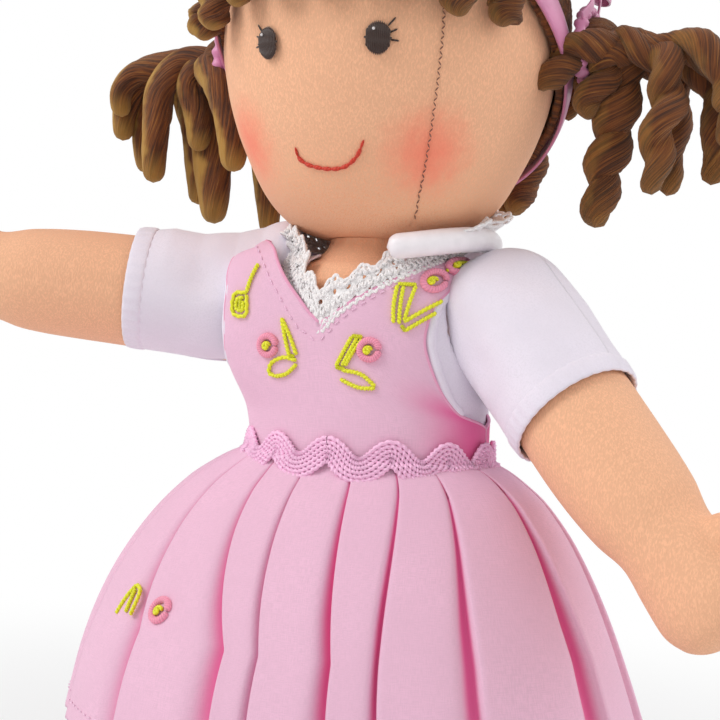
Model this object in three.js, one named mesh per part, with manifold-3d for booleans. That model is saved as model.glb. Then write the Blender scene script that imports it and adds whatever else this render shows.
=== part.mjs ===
// Cloth doll: a stuffed doll in a pink pinafore dress, standing on its shoe soles with its arms held out.
// Millimetres, +Z up. The face looks along -Y, and the doll's own left hand is on the +X side.
import * as THREE from "three";
import { mergeVertices } from "three/addons/utils/BufferGeometryUtils.js";
import Module from "manifold-3d";

const wasm = await Module();
wasm.setup();

// Gaps between pieces that touch, and between pieces that move past each other
const clearance = 0.3;
const movingClearance = 0.35;
const overrun = 60;

// Heights, each counted up from the one before
const soleThickness = 3;
const soleToHip = 94;
const hipToWaist = 35;
const waistToShoulder = 33;
const shoulderToTorsoTop = 12;
const neckLength = 4;
const headHeight = 86;
const torsoBelowHip = 12;

// Stuffed body
const torsoWidth = 58;
const torsoDepth = 43;
const neckRadius = 12;
const headRadius = 40.5;
const shoulderSpacing = 66;
const hipSpacing = 29;

// Cloth thicknesses
const knitThickness = 0.7;
const poplinThickness = 0.8;
const laceThickness = 0.6;
const braidThickness = 1.1;
const ribbonThickness = 0.7;
const feltThickness = 1.2;

// Arms and sleeves
const armLength = 90;
const armRadius = 12.6;
const sleeveLength = 31;
const sleeveRadius = 15.5;
const armholeAngle = 38;
const sleeveHemHeight = 4;
const palmHeight = 68;
const thumbRadius = 4.2;
const thumbLength = 9;
const armForwardAngle = 24;
const leftArmDroopAngle = 44;
const rightArmDroopAngle = -4;
const highestDroopAngle = -8;
const lowestDroopAngle = 52;

// Legs, bloomers, socks and shoes
const thighRadius = 12.2;
const kneeRadius = 10.3;
const ankleRadius = 8.8;
const bloomerLength = 42;
const bloomerRadius = 13.6;
const bloomerFrill = 0.5;
const bloomerFrillHeight = 6;
const seatAboveHip = 24;
const seatBelowHip = 3;
const footWidth = 18.5;
const footLength = 33;
const footHeight = 17;
const footForward = 5.5;
const sockHeight = 36;
const shoeHeight = 19;
const soleRim = 0.9;
const strapWidth = 4;
const shoeButtonRadius = 2;
const legForwardSwing = 45;
const legBackSwing = -30;

// Dress
const skirtLength = 65;
const skirtWidth = 142;
const skirtDepth = 126;
const pleatCount = 18;
const pleatDepth = 6;
const neckDrop = 17;
const neckWidth = 34;
const laceWidth = 8;
const braidWidth = 5.4;
const braidSwing = 4.8;
const braidWaves = 14;
const buttonRadius = 2.6;
const buttonThickness = 1.5;
const buttonPitch = 12;
const buttonCount = 3;

// Collar: the standing lace frill and the rolled tube that lies round it
const frillFoot = 35.7;
const frillTop = 58;
const frillHeight = 10.3;
const frillLift = 2.2;
const rollRadius = 2.5;
const rollWidth = 54;
const rollDepth = 48;
const rollLift = 1;
const rollSideRise = 4.6;
const rollStart = -57;
const rollEnd = 140;
const rollEndShare = 0.55;

// Hair
const hairThickness = 2.8;
const capFootShare = 0.12;
const foreheadHeight = 67;
const hairlineFront = 36.5;
const napeHeight = 17;
const hairlineBack = 20;
const curlRadius = 5;
const hairbandWidth = 7;
const hairbandSetback = 2;
const fringeLength = 15;
const fringeCurls = 7;
const fringeSpreadAngle = 108;
const backCurls = 9;
const backCurlSpreadAngle = 100;
const backCurlHeight = 36;
const backCurlDrop = 28;
const bunchOut = 49;
const bunchBack = 6;
const bunchHeight = 47;
const bunchKnot = 6.4;
const bunchSpread = 31;
const bunchDrop = 40;
const tieThickness = 2;
const bowLoopLength = 13;
const bowLoopHeight = 9;
const bowThickness = 4;
const bowTilt = 18;
const bowMeetShare = 0.45;

// Face
const eyeHeight = 40;
const eyeTurn = 19;
const eyeWidth = 5.6;
const eyeTall = 7;
const eyeDepth = 3.6;
const smileHeight = 14;
const smileTurn = 13;
const smileRise = 5;
const smileThread = 1;

// Faces round each kind of solid, and how many degrees lie between two stops of a swept cut
const bodySides = 20;
const limbSides = 12;
const smallSides = 8;
const curlSides = 5;
const curlSteps = 5;
const domeSteps = 3;
const waveSteps = 5;
const rollSteps = 16;
const smileSteps = 12;
const poleAngle = 12;
const sweepStep = 30;
const spaceSides = 12;

// Heights and layers that follow from the sizes above
const hipHeight = soleThickness + soleToHip;
const waistHeight = hipHeight + hipToWaist;
const shoulderHeight = waistHeight + waistToShoulder;
const torsoTop = shoulderHeight + shoulderToTorsoTop;
const torsoBottom = hipHeight - torsoBelowHip;
const chinHeight = torsoTop + neckLength + 2 * clearance;
const knitInside = clearance;
const knitOutside = knitInside + knitThickness;
const dressInside = knitOutside + clearance;
const dressOutside = dressInside + poplinThickness;
const braidInside = dressOutside + clearance;
const braidOutside = braidInside + braidThickness;
const hairOutside = clearance + hairThickness;
const bandOutside = hairOutside + clearance + ribbonThickness;

// Height, width and depth of the torso, as shares of its length, half width and half depth
const torsoShares = [
  [0, 0.3, 0.3], [0.03, 0.62, 0.6], [0.1, 0.86, 0.84], [0.2, 0.98, 0.96], [0.33, 1, 1],
  [0.45, 0.97, 0.97], [0.51, 0.955, 0.95], [0.6, 0.95, 0.94], [0.705, 0.95, 0.94], [0.815, 0.95, 0.94],
  [0.89, 0.92, 0.91], [0.945, 0.84, 0.84], [0.98, 0.7, 0.75], [1, 0.52, 0.62],
];
// Height and radius of the head, as shares of its height and radius
const headShares = [
  [0, 0.3], [0.014, 0.43], [0.035, 0.53], [0.08, 0.64], [0.13, 0.72], [0.21, 0.81], [0.29, 0.885],
  [0.4, 0.955], [0.52, 0.995], [0.64, 0.985], [0.75, 0.91], [0.85, 0.75], [0.93, 0.52], [0.98, 0.26],
  [1, 0.08],
];
// Arm below the shoulder: length, width and thickness, as shares of its length and radius
const armShares = [
  [0.1, 1.12, 1.12], [0.18, 1.06, 1.06], [0.34, 1, 1], [0.5, 0.98, 0.98], [0.64, 0.95, 0.93],
  [0.73, 0.86, 0.82], [0.81, 0.95, 0.76], [0.89, 1, 0.72], [0.95, 0.84, 0.6], [0.985, 0.52, 0.38],
  [1, 0.2, 0.15],
];
// Skirt: drop, flare and pleat depth, as shares of its length, its spread past the waist and its pleats
const skirtShares = [
  [0, 0, 0], [0.087, 0, 0], [0.22, 0.27, 0.33], [0.52, 0.66, 0.7], [1, 1, 1],
];
// One pleat: where round it each point lies, and how deep it is folded in
const pleatShares = [[0, 1], [0.2, 0.2], [0.5, 0], [0.8, 0.2]];
// Curls of a side bunch: out, back and drop of each tip, and its thickness
const bunchShares = [
  [-0.42, 0.34, 1, 0.86], [-0.16, -0.3, 0.72, 0.9], [0.12, 0.05, 1, 1.12], [0.36, 0.4, 0.66, 0.9],
  [0.52, -0.22, 0.8, 0.94], [0.78, 0.2, 0.86, 0.84], [1, 0, 0.6, 0.92],
];
// Way of a bunch's curl from knot to tip: its spread, its fall and how far it leans out past the knot
const bunchPathShares = [[0, 0, 0], [0.25, 0.1, 1], [0.55, 0.42, 1], [0.9, 0.72, 0.55], [1, 1, 0]];
// Thumb: how far out from the middle of the arm, and how far past the palm, each point of its path lies
const thumbShares = [[0, 0], [0.5, 0.25], [1.17, 0.7], [1.33, 1.4]];

function lerpShares(table, share) {
  const last = table.length - 1;
  const found = table.findIndex((row) => row[0] > share);
  const upper = found < 0 ? last : Math.max(found, 1);
  const [low, high] = [table[upper - 1], table[upper]];
  const part = THREE.MathUtils.clamp((share - low[0]) / (high[0] - low[0]), 0, 1);
  return low.map((value, i) => value + (high[i] - value) * part);
}

// Closed solid skinned over rings of points; a looped one joins its last ring to its first
function skin(rings, looped = false) {
  const sides = rings[0].length;
  const points = rings.flat();
  const indices = [];
  const spans = looped ? rings.length : rings.length - 1;
  for (let r = 0; r < spans; r++) {
    const here = r * sides;
    const next = ((r + 1) % rings.length) * sides;
    for (let i = 0; i < sides; i++) {
      const j = (i + 1) % sides;
      indices.push(here + i, here + j, next + j, here + i, next + j, next + i);
    }
  }
  if (!looped) {
    const lastRing = (rings.length - 1) * sides;
    const foot = points.push(middleOf(rings[0])) - 1;
    const head = points.push(middleOf(rings.at(-1))) - 1;
    for (let i = 0; i < sides; i++) {
      const j = (i + 1) % sides;
      indices.push(foot, j, i, head, lastRing + i, lastRing + j);
    }
  }
  return outward(points, indices);
}

function middleOf(ring) {
  return ring.reduce((sum, p) => sum.add(p), new THREE.Vector3()).divideScalar(ring.length);
}

// Turns the faces round if the closed surface would be inside out
function outward(points, indices) {
  let volume = 0;
  for (let k = 0; k < indices.length; k += 3) {
    const [a, b, c] = [points[indices[k]], points[indices[k + 1]], points[indices[k + 2]]];
    volume += a.dot(new THREE.Vector3().crossVectors(b, c));
  }
  if (volume < 0) indices.reverse();
  const geometry = new THREE.BufferGeometry().setFromPoints(points);
  geometry.setIndex(indices);
  return geometry;
}

// Level ring of an ellipse, with an optional change of radius round it
function levelRing(z, halfWidth, halfDepth, sides, centre = [0, 0], inset = () => 0) {
  const ring = [];
  for (let i = 0; i < sides; i++) {
    const turn = (i / sides) * Math.PI * 2;
    const cut = inset(i / sides);
    const x = centre[0] + (halfWidth - cut) * Math.cos(turn);
    const y = centre[1] + (halfDepth - cut) * Math.sin(turn);
    ring.push(new THREE.Vector3(x, y, z));
  }
  return ring;
}

// Tube along a curve, whose radius is worked out from the share of the way along it
function tube(curve, radiusAt, sides = curlSides, steps = curlSteps) {
  const frames = curve.computeFrenetFrames(steps);
  const rings = [];
  for (let s = 0; s <= steps; s++) {
    const centre = curve.getPointAt(s / steps);
    const radius = radiusAt(s / steps);
    const ring = [];
    for (let i = 0; i < sides; i++) {
      const turn = (i / sides) * Math.PI * 2;
      const across = frames.normals[s].clone().multiplyScalar(Math.cos(turn) * radius);
      const up = frames.binormals[s].clone().multiplyScalar(Math.sin(turn) * radius);
      ring.push(centre.clone().add(across).add(up));
    }
    rings.push(ring);
  }
  return skin(rings);
}

function smoothPath(points) {
  return new THREE.CatmullRomCurve3(points.map((p) => new THREE.Vector3(...p)));
}

function solid(geometry, matrix) {
  const bare = geometry.clone();
  bare.deleteAttribute("normal");
  bare.deleteAttribute("uv");
  const merged = mergeVertices(bare);
  if (matrix) merged.applyMatrix4(matrix);
  const mesh = new wasm.Mesh({
    numProp: 3,
    vertProperties: new Float32Array(merged.attributes.position.array),
    triVerts: new Uint32Array(merged.index.array),
  });
  return new wasm.Manifold(mesh);
}

function geometryOf(manifold) {
  const mesh = manifold.getMesh();
  const geometry = new THREE.BufferGeometry();
  geometry.setAttribute("position", new THREE.BufferAttribute(mesh.vertProperties, 3));
  geometry.setIndex(new THREE.BufferAttribute(mesh.triVerts, 1));
  return geometry;
}

// The largest body of a cut solid, without the slivers that a cut leaves beside it
function mainBody(manifold) {
  const bodies = manifold.decompose();
  return bodies.reduce((best, body) => (body.volume() > best.volume() ? body : best));
}

function joined(solids) {
  return solids.reduce((all, one) => all.add(one));
}

function box(width, depth, height, x, y, z) {
  const geometry = new THREE.BoxGeometry(width, depth, height);
  return solid(geometry, new THREE.Matrix4().makeTranslation(x, y, z));
}

function ellipsoid(width, depth, height, matrix, sides = smallSides) {
  const geometry = new THREE.SphereGeometry(1, sides, sides / 2);
  geometry.scale(width / 2, depth / 2, height / 2);
  return solid(geometry, matrix);
}

function cloth(colour, roughness) {
  return new THREE.MeshStandardMaterial({ color: colour, roughness, metalness: 0 });
}

const materials = {
  skin: cloth("#e3b088", 0.9),
  knit: cloth("#efe6f2", 0.9),
  poplin: cloth("#ecb9d6", 0.8),
  ricrac: cloth("#ec8cbf", 0.75),
  lace: cloth("#fbf7f4", 0.9),
  satin: cloth("#f6f3f4", 0.35),
  ribbon: cloth("#d58bb4", 0.5),
  hair: cloth("#6e4220", 0.95),
  bloomer: cloth("#f7f2f2", 0.9),
  shoe: cloth("#d884ae", 0.7),
  sole: cloth("#b98f78", 0.85),
  button: cloth("#f4eef0", 0.3),
  thread: cloth("#c43e24", 0.7),
  eye: cloth("#3a2418", 0.6),
};

function piece(name, geometry, material, parent) {
  const mesh = new THREE.Mesh(geometry, materials[material]);
  mesh.name = name;
  parent.add(mesh);
  return mesh;
}

const doll = new THREE.Group();

// Limb frames: a limb hangs down local -Z from its pivot, and an arm is turned out and forward from there
function placeArm(group, side, droop) {
  group.position.set((side * shoulderSpacing) / 2, 0, shoulderHeight);
  const out = THREE.MathUtils.degToRad(90 - droop);
  const forward = THREE.MathUtils.degToRad(armForwardAngle);
  group.rotation.set(0, -side * out, -side * forward, "ZYX");
  group.updateMatrix();
}

function placeLeg(group, side, swing) {
  group.position.set((side * hipSpacing) / 2, 0, hipHeight);
  group.rotation.set(THREE.MathUtils.degToRad(-swing), 0, 0);
  group.updateMatrix();
}

// Rings of a round limb top: half a ball about the pivot, from its pole or from an angle down to its middle
function ballRings(radius, fromAngle = poleAngle) {
  const rings = [];
  for (let k = 0; k < domeSteps; k++) {
    const angle = THREE.MathUtils.degToRad(fromAngle + ((90 - fromAngle) * k) / domeSteps);
    const width = radius * Math.sin(angle);
    rings.push(levelRing(radius * Math.cos(angle), width, width, limbSides));
  }
  return rings;
}

function straightRings(radius, length, steps) {
  const rings = [];
  for (let k = 0; k <= steps; k++) rings.push(levelRing((-length * k) / steps, radius, radius, limbSides));
  return rings;
}

// Space that a limb's cover sweeps between two angles, to be cut from the pieces round its pivot: a ball, and
// a straight run at each stop that is thinner than the ball, drawn round the outside of their true circles
function sweptSpace(place, side, radius, length, fromAngle, toAngle) {
  const flat = Math.cos(Math.PI / spaceSides);
  const run = skin([
    levelRing(0, radius / flat, radius / flat, spaceSides),
    levelRing(-length, radius / flat, radius / flat, spaceSides),
  ]);
  const ball = new THREE.SphereGeometry((radius + clearance) / flat ** 2, spaceSides, spaceSides / 2);
  const stops = Math.ceil(Math.abs(toAngle - fromAngle) / sweepStep);
  const frame = new THREE.Group();
  place(frame, side, 0);
  const spaces = [solid(ball, new THREE.Matrix4().setPosition(frame.position))];
  for (let k = 0; k <= stops; k++) {
    place(frame, side, fromAngle + ((toAngle - fromAngle) * k) / stops);
    spaces.push(solid(run, frame.matrix));
  }
  return joined(spaces);
}

const armSpaces = joined([1, -1].map((side) =>
  sweptSpace(
    placeArm, side, sleeveRadius + movingClearance, sleeveLength, highestDroopAngle, lowestDroopAngle)));
const legSpaces = joined([1, -1].map((side) =>
  sweptSpace(placeLeg, side, bloomerRadius + movingClearance, bloomerLength, legBackSwing, legForwardSwing)));

// Torso outline at a share of its height, moved out by the thickness of the layers under it
function torsoRing(share, offset, sides = bodySides) {
  const [, width, depth] = lerpShares(torsoShares, share);
  const z = torsoBottom - offset + share * (torsoTop - torsoBottom + 2 * offset);
  return levelRing(z, (width * torsoWidth) / 2 + offset, (depth * torsoDepth) / 2 + offset, sides);
}

function torsoShareAt(z, offset) {
  return (z - torsoBottom + offset) / (torsoTop - torsoBottom + 2 * offset);
}

function torsoShell(fromZ, toShare, inside, outside) {
  const from = torsoShareAt(fromZ, outside);
  const between = torsoShares.map((row) => row[0]).filter((share) => share > from && share < toShare);
  const shares = [from, ...between, toShare];
  const outer = shares.map((share) => torsoRing(share, outside));
  const inner = shares.map((share) => torsoRing(share, inside));
  for (const point of inner[0]) point.z = fromZ;
  return skin([...outer, ...inner.reverse()], true);
}

// V of the neckline: a wedge that runs forward out of the chest, its point lifted by some of the lace's width
function neckWedge(lift) {
  const foot = torsoTop - neckDrop + lift;
  const rise = overrun;
  const slope = neckWidth / 2 / neckDrop;
  const outline = new THREE.Shape();
  outline.moveTo(0, foot);
  outline.lineTo(slope * rise, foot + rise);
  outline.lineTo(-slope * rise, foot + rise);
  outline.closePath();
  const wedge = new THREE.ExtrudeGeometry(outline, { depth: overrun, bevelEnabled: false });
  return solid(wedge, new THREE.Matrix4().makeRotationX(Math.PI / 2));
}

function makeTorso(parent) {
  const body = solid(skin(torsoShares.map((row) => torsoRing(row[0], 0))));
  piece("torso_body", geometryOf(mainBody(body.subtract(armSpaces).subtract(legSpaces))), "skin", parent);
  const neckFoot = torsoTop + clearance;
  const neck = skin([
    levelRing(neckFoot, neckRadius, neckRadius, limbSides),
    levelRing(neckFoot + neckLength, neckRadius, neckRadius, limbSides),
  ]);
  piece("neck", neck, "skin", parent);
}

function makeJerseyTop(parent) {
  const shell = solid(torsoShell(waistHeight, 1, knitInside, knitOutside));
  piece("jersey_top", geometryOf(mainBody(shell.subtract(armSpaces).subtract(neckWedge(0)))), "knit", parent);
}

function makeBodice(parent) {
  const shell = solid(torsoShell(waistHeight, 1, dressInside, dressOutside));
  const bodice = mainBody(shell.subtract(armSpaces).subtract(neckWedge(0)));
  piece("dress_bodice", geometryOf(bodice), "poplin", parent);
}

function makeLaceNeckline(parent) {
  const shell = solid(torsoShell(waistHeight, 1, knitInside, knitInside + laceThickness));
  const band = shell.intersect(neckWedge(2 * clearance)).subtract(neckWedge(laceWidth));
  piece("lace_neckline", geometryOf(mainBody(band)), "lace", parent);
}

// Ellipse and pleats of the skirt at a share of its drop
function skirtRing(row, thickness) {
  const [drop, flare, pleat] = row;
  const [, waistWide, waistDeep] = lerpShares(torsoShares, torsoShareAt(waistHeight, 0));
  const waistHalfWidth = (waistWide * torsoWidth) / 2 + dressOutside;
  const waistHalfDepth = (waistDeep * torsoDepth) / 2 + dressOutside;
  const halfWidth = waistHalfWidth + (skirtWidth / 2 - waistHalfWidth) * flare - thickness;
  const halfDepth = waistHalfDepth + (skirtDepth / 2 - waistHalfDepth) * flare - thickness;
  const points = pleatShares.length;
  const inset = (share) => pleatShares[Math.round(share * pleatCount * points) % points][1];
  const fold = (share) => pleatDepth * pleat * inset(share);
  const z = waistHeight - clearance - drop * skirtLength;
  return levelRing(z, halfWidth, halfDepth, pleatCount * points, [0, 0], fold);
}

function makeSkirt(parent) {
  const outer = skirtShares.map((row) => skirtRing(row, 0));
  const inner = skirtShares.map((row) => skirtRing(row, poplinThickness));
  piece("dress_skirt", skin([...outer, ...inner.reverse()], true), "poplin", parent);
}

// Wavy braid over the waist seam
function makeRicrac(parent) {
  const count = braidWaves * waveSteps;
  const [, wide, deep] = lerpShares(torsoShares, torsoShareAt(waistHeight, 0));
  const rings = [];
  for (let i = 0; i < count; i++) {
    const turn = (i / count) * Math.PI * 2;
    const middle = waistHeight + (braidSwing / 2) * Math.sin(turn * braidWaves);
    const corner = (offset, rise) => new THREE.Vector3(
      ((wide * torsoWidth) / 2 + offset) * Math.cos(turn),
      ((deep * torsoDepth) / 2 + offset) * Math.sin(turn),
      middle + rise,
    );
    rings.push([
      corner(braidInside, -braidWidth / 2), corner(braidOutside, -braidWidth / 2),
      corner(braidOutside, braidWidth / 2), corner(braidInside, braidWidth / 2),
    ]);
  }
  piece("waist_ricrac", skin(rings, true), "ricrac", parent);
}

function makeBackButtons(parent) {
  for (let k = 0; k < buttonCount; k++) {
    const z = waistHeight + braidSwing + buttonPitch * (k + 0.5);
    const [, , deep] = lerpShares(torsoShares, torsoShareAt(z, dressOutside));
    const button = new THREE.CylinderGeometry(buttonRadius, buttonRadius, buttonThickness, smallSides);
    const mesh = piece(`back_button_${k + 1}`, button, "button", parent);
    mesh.position.set(0, (deep * torsoDepth) / 2 + dressOutside + clearance + buttonThickness / 2, z);
  }
}

// Frill of lace that stands round the sides and back of the neck, under the jaw
function makeLaceFrill(parent) {
  const foot = torsoTop + frillLift;
  const outer = [
    levelRing(foot, frillFoot / 2 + laceThickness, frillFoot / 2 + laceThickness, bodySides),
    levelRing(foot + frillHeight, frillTop / 2 + laceThickness, frillTop / 2 + laceThickness, bodySides),
  ];
  const inner = [
    levelRing(foot + frillHeight, frillTop / 2, frillTop / 2, bodySides),
    levelRing(foot, frillFoot / 2, frillFoot / 2, bodySides),
  ];
  const front = neckWedge(0);
  piece("lace_frill", geometryOf(solid(skin([...outer, ...inner], true)).subtract(front)), "lace", parent);
}

function makeCollarRoll(parent) {
  const points = [];
  for (let k = 0; k <= smallSides; k++) {
    const turn = THREE.MathUtils.degToRad(rollStart + ((rollEnd - rollStart) * k) / smallSides);
    const lift = rollLift + rollSideRise * Math.cos(turn) ** 2;
    points.push([(rollWidth / 2) * Math.cos(turn), (rollDepth / 2) * Math.sin(turn), torsoTop + lift]);
  }
  const rounded = (share) => rollRadius * (share * (1 - share) > 0 ? 1 : rollEndShare);
  piece("collar_roll", tube(smoothPath(points), rounded, smallSides, rollSteps), "satin", parent);
}

// Bloomers: the seat round the hips, and a leg on each thigh
function makeBloomerSeat(parent) {
  const topShare = torsoShareAt(hipHeight + seatAboveHip, 0);
  const shell = solid(torsoShell(hipHeight - seatBelowHip, topShare, knitInside, knitOutside));
  piece("bloomer_seat", geometryOf(mainBody(shell.subtract(legSpaces))), "bloomer", parent);
}

// Head outline at a share of its height, moved out by the thickness of what lies under it
function headRing(share, offset) {
  const [, radius] = lerpShares(headShares, share);
  const z = chinHeight - offset + share * (headHeight + 2 * offset);
  return levelRing(z, radius * headRadius + offset, radius * headRadius + offset, bodySides);
}

function headSolid(offset) {
  return solid(skin(headShares.map((row) => headRing(row[0], offset))));
}

function headRadiusAt(z, offset) {
  const share = (z - chinHeight + offset) / (headHeight + 2 * offset);
  return lerpShares(headShares, share)[1] * headRadius + offset;
}

// Shell of a cap over the head, open below a share of its height
function headShell(fromShare, inside, outside) {
  const shares = [fromShare, ...headShares.map((row) => row[0]).filter((share) => share > fromShare)];
  const outer = shares.map((share) => headRing(share, outside));
  const inner = shares.map((share) => headRing(share, inside));
  return solid(skin([...inner.reverse(), ...outer]));
}

// Hairline: a slanting plane from the forehead down to the nape
const hairline = {
  front: new THREE.Vector3(0, -hairlineFront, chinHeight + foreheadHeight),
  back: new THREE.Vector3(0, hairlineBack, chinHeight + napeHeight),
};

function hairlineHeight(y) {
  const part = (y - hairline.front.y) / (hairline.back.y - hairline.front.y);
  return hairline.front.z + (hairline.back.z - hairline.front.z) * part;
}

// Slab in front of the hairline plane, or one behind it, from one setback to another
function hairlineSlab(from, to) {
  const along = new THREE.Vector3().subVectors(hairline.front, hairline.back).normalize();
  const across = new THREE.Vector3(1, 0, 0);
  const ahead = new THREE.Vector3().crossVectors(across, along);
  const size = 3 * headHeight;
  const centre = hairline.front.clone().add(hairline.back).divideScalar(2);
  centre.addScaledVector(ahead, -(from + to) / 2);
  const slab = new THREE.BoxGeometry(size, size, Math.abs(to - from));
  const frame = new THREE.Matrix4().makeBasis(across, along, ahead).setPosition(centre);
  return solid(slab, frame);
}

function makeHead(parent) {
  piece("head_body", geometryOf(headSolid(0)), "skin", parent);
  const cap = headShell(capFootShare, clearance, hairOutside).subtract(hairlineSlab(-2 * headHeight, 0));
  piece("hair_cap", geometryOf(mainBody(cap)), "hair", parent);
  const bandSlab = hairlineSlab(hairbandSetback, hairbandSetback + hairbandWidth);
  const band = headShell(capFootShare, hairOutside + clearance, bandOutside).intersect(bandSlab);
  piece("hairband", geometryOf(mainBody(band)), "ribbon", parent);
}

// A curl that thins to its tip
function curlRadiusAt(thickness) {
  return (share) => curlRadius * thickness * (0.8 + 0.4 * share - 0.6 * share ** 4);
}

// Row of curls over what lies on the head, hung from a weft that runs through their roots
function hungCurls(count, spread, facing, under, rootAt, tipDrop) {
  const steps = [0, 0.35, 0.7, 1];
  const routes = [];
  for (let k = 0; k < count; k++) {
    const turn = THREE.MathUtils.degToRad(spread * (k / (count - 1) - 0.5));
    const root = rootAt(turn);
    routes.push(steps.map((step) => {
      const z = root - tipDrop * step;
      const reach = headRadiusAt(z, under) + clearance + curlRadius;
      return [reach * Math.sin(turn), facing * reach * Math.cos(turn), z];
    }));
  }
  const curls = routes.map((route) => solid(tube(smoothPath(route), curlRadiusAt(1))));
  const roots = routes.map((route) => route[0]);
  const weft = solid(tube(smoothPath(roots), () => curlRadius * 0.8, curlSides, 2 * count));
  return joined([weft, ...curls]);
}

function makeFringe(parent) {
  const browRadius = headRadiusAt(hairline.front.z, 0);
  const rootAt = (turn) => hairlineHeight(-browRadius * Math.cos(turn)) - curlRadius - clearance;
  const curls = hungCurls(fringeCurls, fringeSpreadAngle, -1, 0, rootAt, fringeLength);
  piece("fringe_curls", geometryOf(curls), "hair", parent);
}

function makeBackCurls(parent) {
  const root = chinHeight + backCurlHeight;
  const curls = hungCurls(backCurls, backCurlSpreadAngle, 1, bandOutside, () => root, backCurlDrop);
  piece("back_curls", geometryOf(curls), "hair", parent);
}

function onFace(turn, z, offset) {
  const out = headRadiusAt(z, offset);
  return [out * Math.sin(turn), -out * Math.cos(turn), z];
}

function makeFace(parent) {
  for (const [name, side] of [["left_eye", 1], ["right_eye", -1]]) {
    const turn = THREE.MathUtils.degToRad(side * eyeTurn);
    const frame = new THREE.Matrix4().makeRotationZ(turn);
    frame.setPosition(...onFace(turn, chinHeight + eyeHeight, 0));
    const eye = ellipsoid(eyeWidth, eyeDepth, eyeTall, frame).subtract(headSolid(clearance));
    piece(name, geometryOf(eye), "eye", parent);
  }
  const points = [];
  for (const share of [-1, -0.75, -0.4, 0, 0.4, 0.75, 1]) {
    const turn = THREE.MathUtils.degToRad(smileTurn * share);
    points.push(onFace(turn, chinHeight + smileHeight + smileRise * share ** 2, clearance + smileThread / 2));
  }
  const stitch = tube(smoothPath(points), () => smileThread / 2, curlSides, smileSteps);
  piece("smile_stitch", stitch, "thread", parent);
}

// Side bunches: curls that fan out and hang from a round knot, held in a ribbon ring with a bow
function bunchPivot(side) {
  return new THREE.Vector3(side * bunchOut, bunchBack, chinHeight + bunchHeight);
}

function makeBunch(name, side, parent) {
  const group = new THREE.Group();
  group.position.copy(bunchPivot(side));
  parent.add(group);
  const curls = bunchShares.map(([out, back, drop, thickness]) => {
    const points = bunchPathShares.map(([spread, fall, lean]) => [
      side * (out * bunchSpread * spread + bunchKnot * lean),
      back * bunchSpread * spread,
      -drop * bunchDrop * fall,
    ]);
    return solid(tube(smoothPath(points), curlRadiusAt(thickness), curlSides, curlSteps + 2));
  });
  const knot = ellipsoid(2 * bunchKnot, 2 * bunchKnot, 2 * bunchKnot);
  piece(`${name}_hair_bunch`, geometryOf(joined([knot, ...curls])), "hair", group);
}

function makeTieAndBow(name, side, parent) {
  const pivot = bunchPivot(side);
  const ringRadius = bunchKnot + movingClearance + tieThickness / 2;
  const tie = new THREE.TorusGeometry(ringRadius, tieThickness / 2, curlSides, limbSides);
  const tieMesh = piece(`${name}_hair_tie`, tie, "ribbon", parent);
  tieMesh.rotation.y = Math.PI / 2;
  tieMesh.position.set(pivot.x - side * tieThickness, pivot.y, pivot.z);
  const loops = [-1, 1].map((way) => {
    const frame = new THREE.Matrix4().makeRotationX(THREE.MathUtils.degToRad(way * bowTilt));
    frame.setPosition(0, way * bowLoopLength * bowMeetShare, 0);
    return ellipsoid(bowThickness, bowLoopLength, bowLoopHeight, frame);
  });
  const knot = ellipsoid(bowThickness + ribbonThickness, bowLoopHeight / 2, bowLoopHeight / 2);
  const bow = piece(`${name}_bow`, geometryOf(joined([knot, ...loops])), "ribbon", parent);
  const bowLift = ringRadius + tieThickness / 2 + bowLoopHeight / 2 + clearance;
  bow.position.set(pivot.x - side * tieThickness, pivot.y, pivot.z + bowLift);
}

// Arm with a mitten hand and thumb, in a short sleeve with a turned hem
function makeArm(name, side, droop, parent) {
  const group = new THREE.Group();
  placeArm(group, side, droop);
  parent.add(group);
  const armTop = sleeveRadius - knitThickness - clearance;
  const length = armShares.map(([along, wide, thick]) =>
    levelRing(-along * armLength, wide * armRadius, thick * armRadius, limbSides));
  const limb = solid(skin([...ballRings(armTop), levelRing(0, armTop, armTop, limbSides), ...length]));
  const thumbPath = thumbShares.map(
    ([out, along]) => [side * out * armRadius, 0, -palmHeight - along * thumbLength]);
  const thumbWidth = (share) => thumbRadius * (1 - 0.6 * share ** 3);
  const thumb = solid(tube(smoothPath(thumbPath), thumbWidth, smallSides));
  piece(`${name}_arm`, geometryOf(limb.add(thumb)), "skin", group);

  const inside = sleeveRadius - knitThickness;
  const hemTop = sleeveLength - sleeveHemHeight - clearance;
  const outer = [...ballRings(sleeveRadius, armholeAngle), ...straightRings(sleeveRadius, hemTop, 1)];
  const inner = [...ballRings(inside, armholeAngle), ...straightRings(inside, hemTop, 1)];
  piece(`${name}_sleeve`, skin([...outer, ...inner.reverse()], true), "knit", group);
  const hem = skin([
    levelRing(-sleeveLength, sleeveRadius, sleeveRadius, limbSides),
    levelRing(-sleeveLength + sleeveHemHeight, sleeveRadius, sleeveRadius, limbSides),
    levelRing(-sleeveLength + sleeveHemHeight, inside, inside, limbSides),
    levelRing(-sleeveLength, inside - knitThickness, inside - knitThickness, limbSides),
  ], true);
  piece(`${name}_sleeve_hem`, hem, "knit", group);
}

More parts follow.
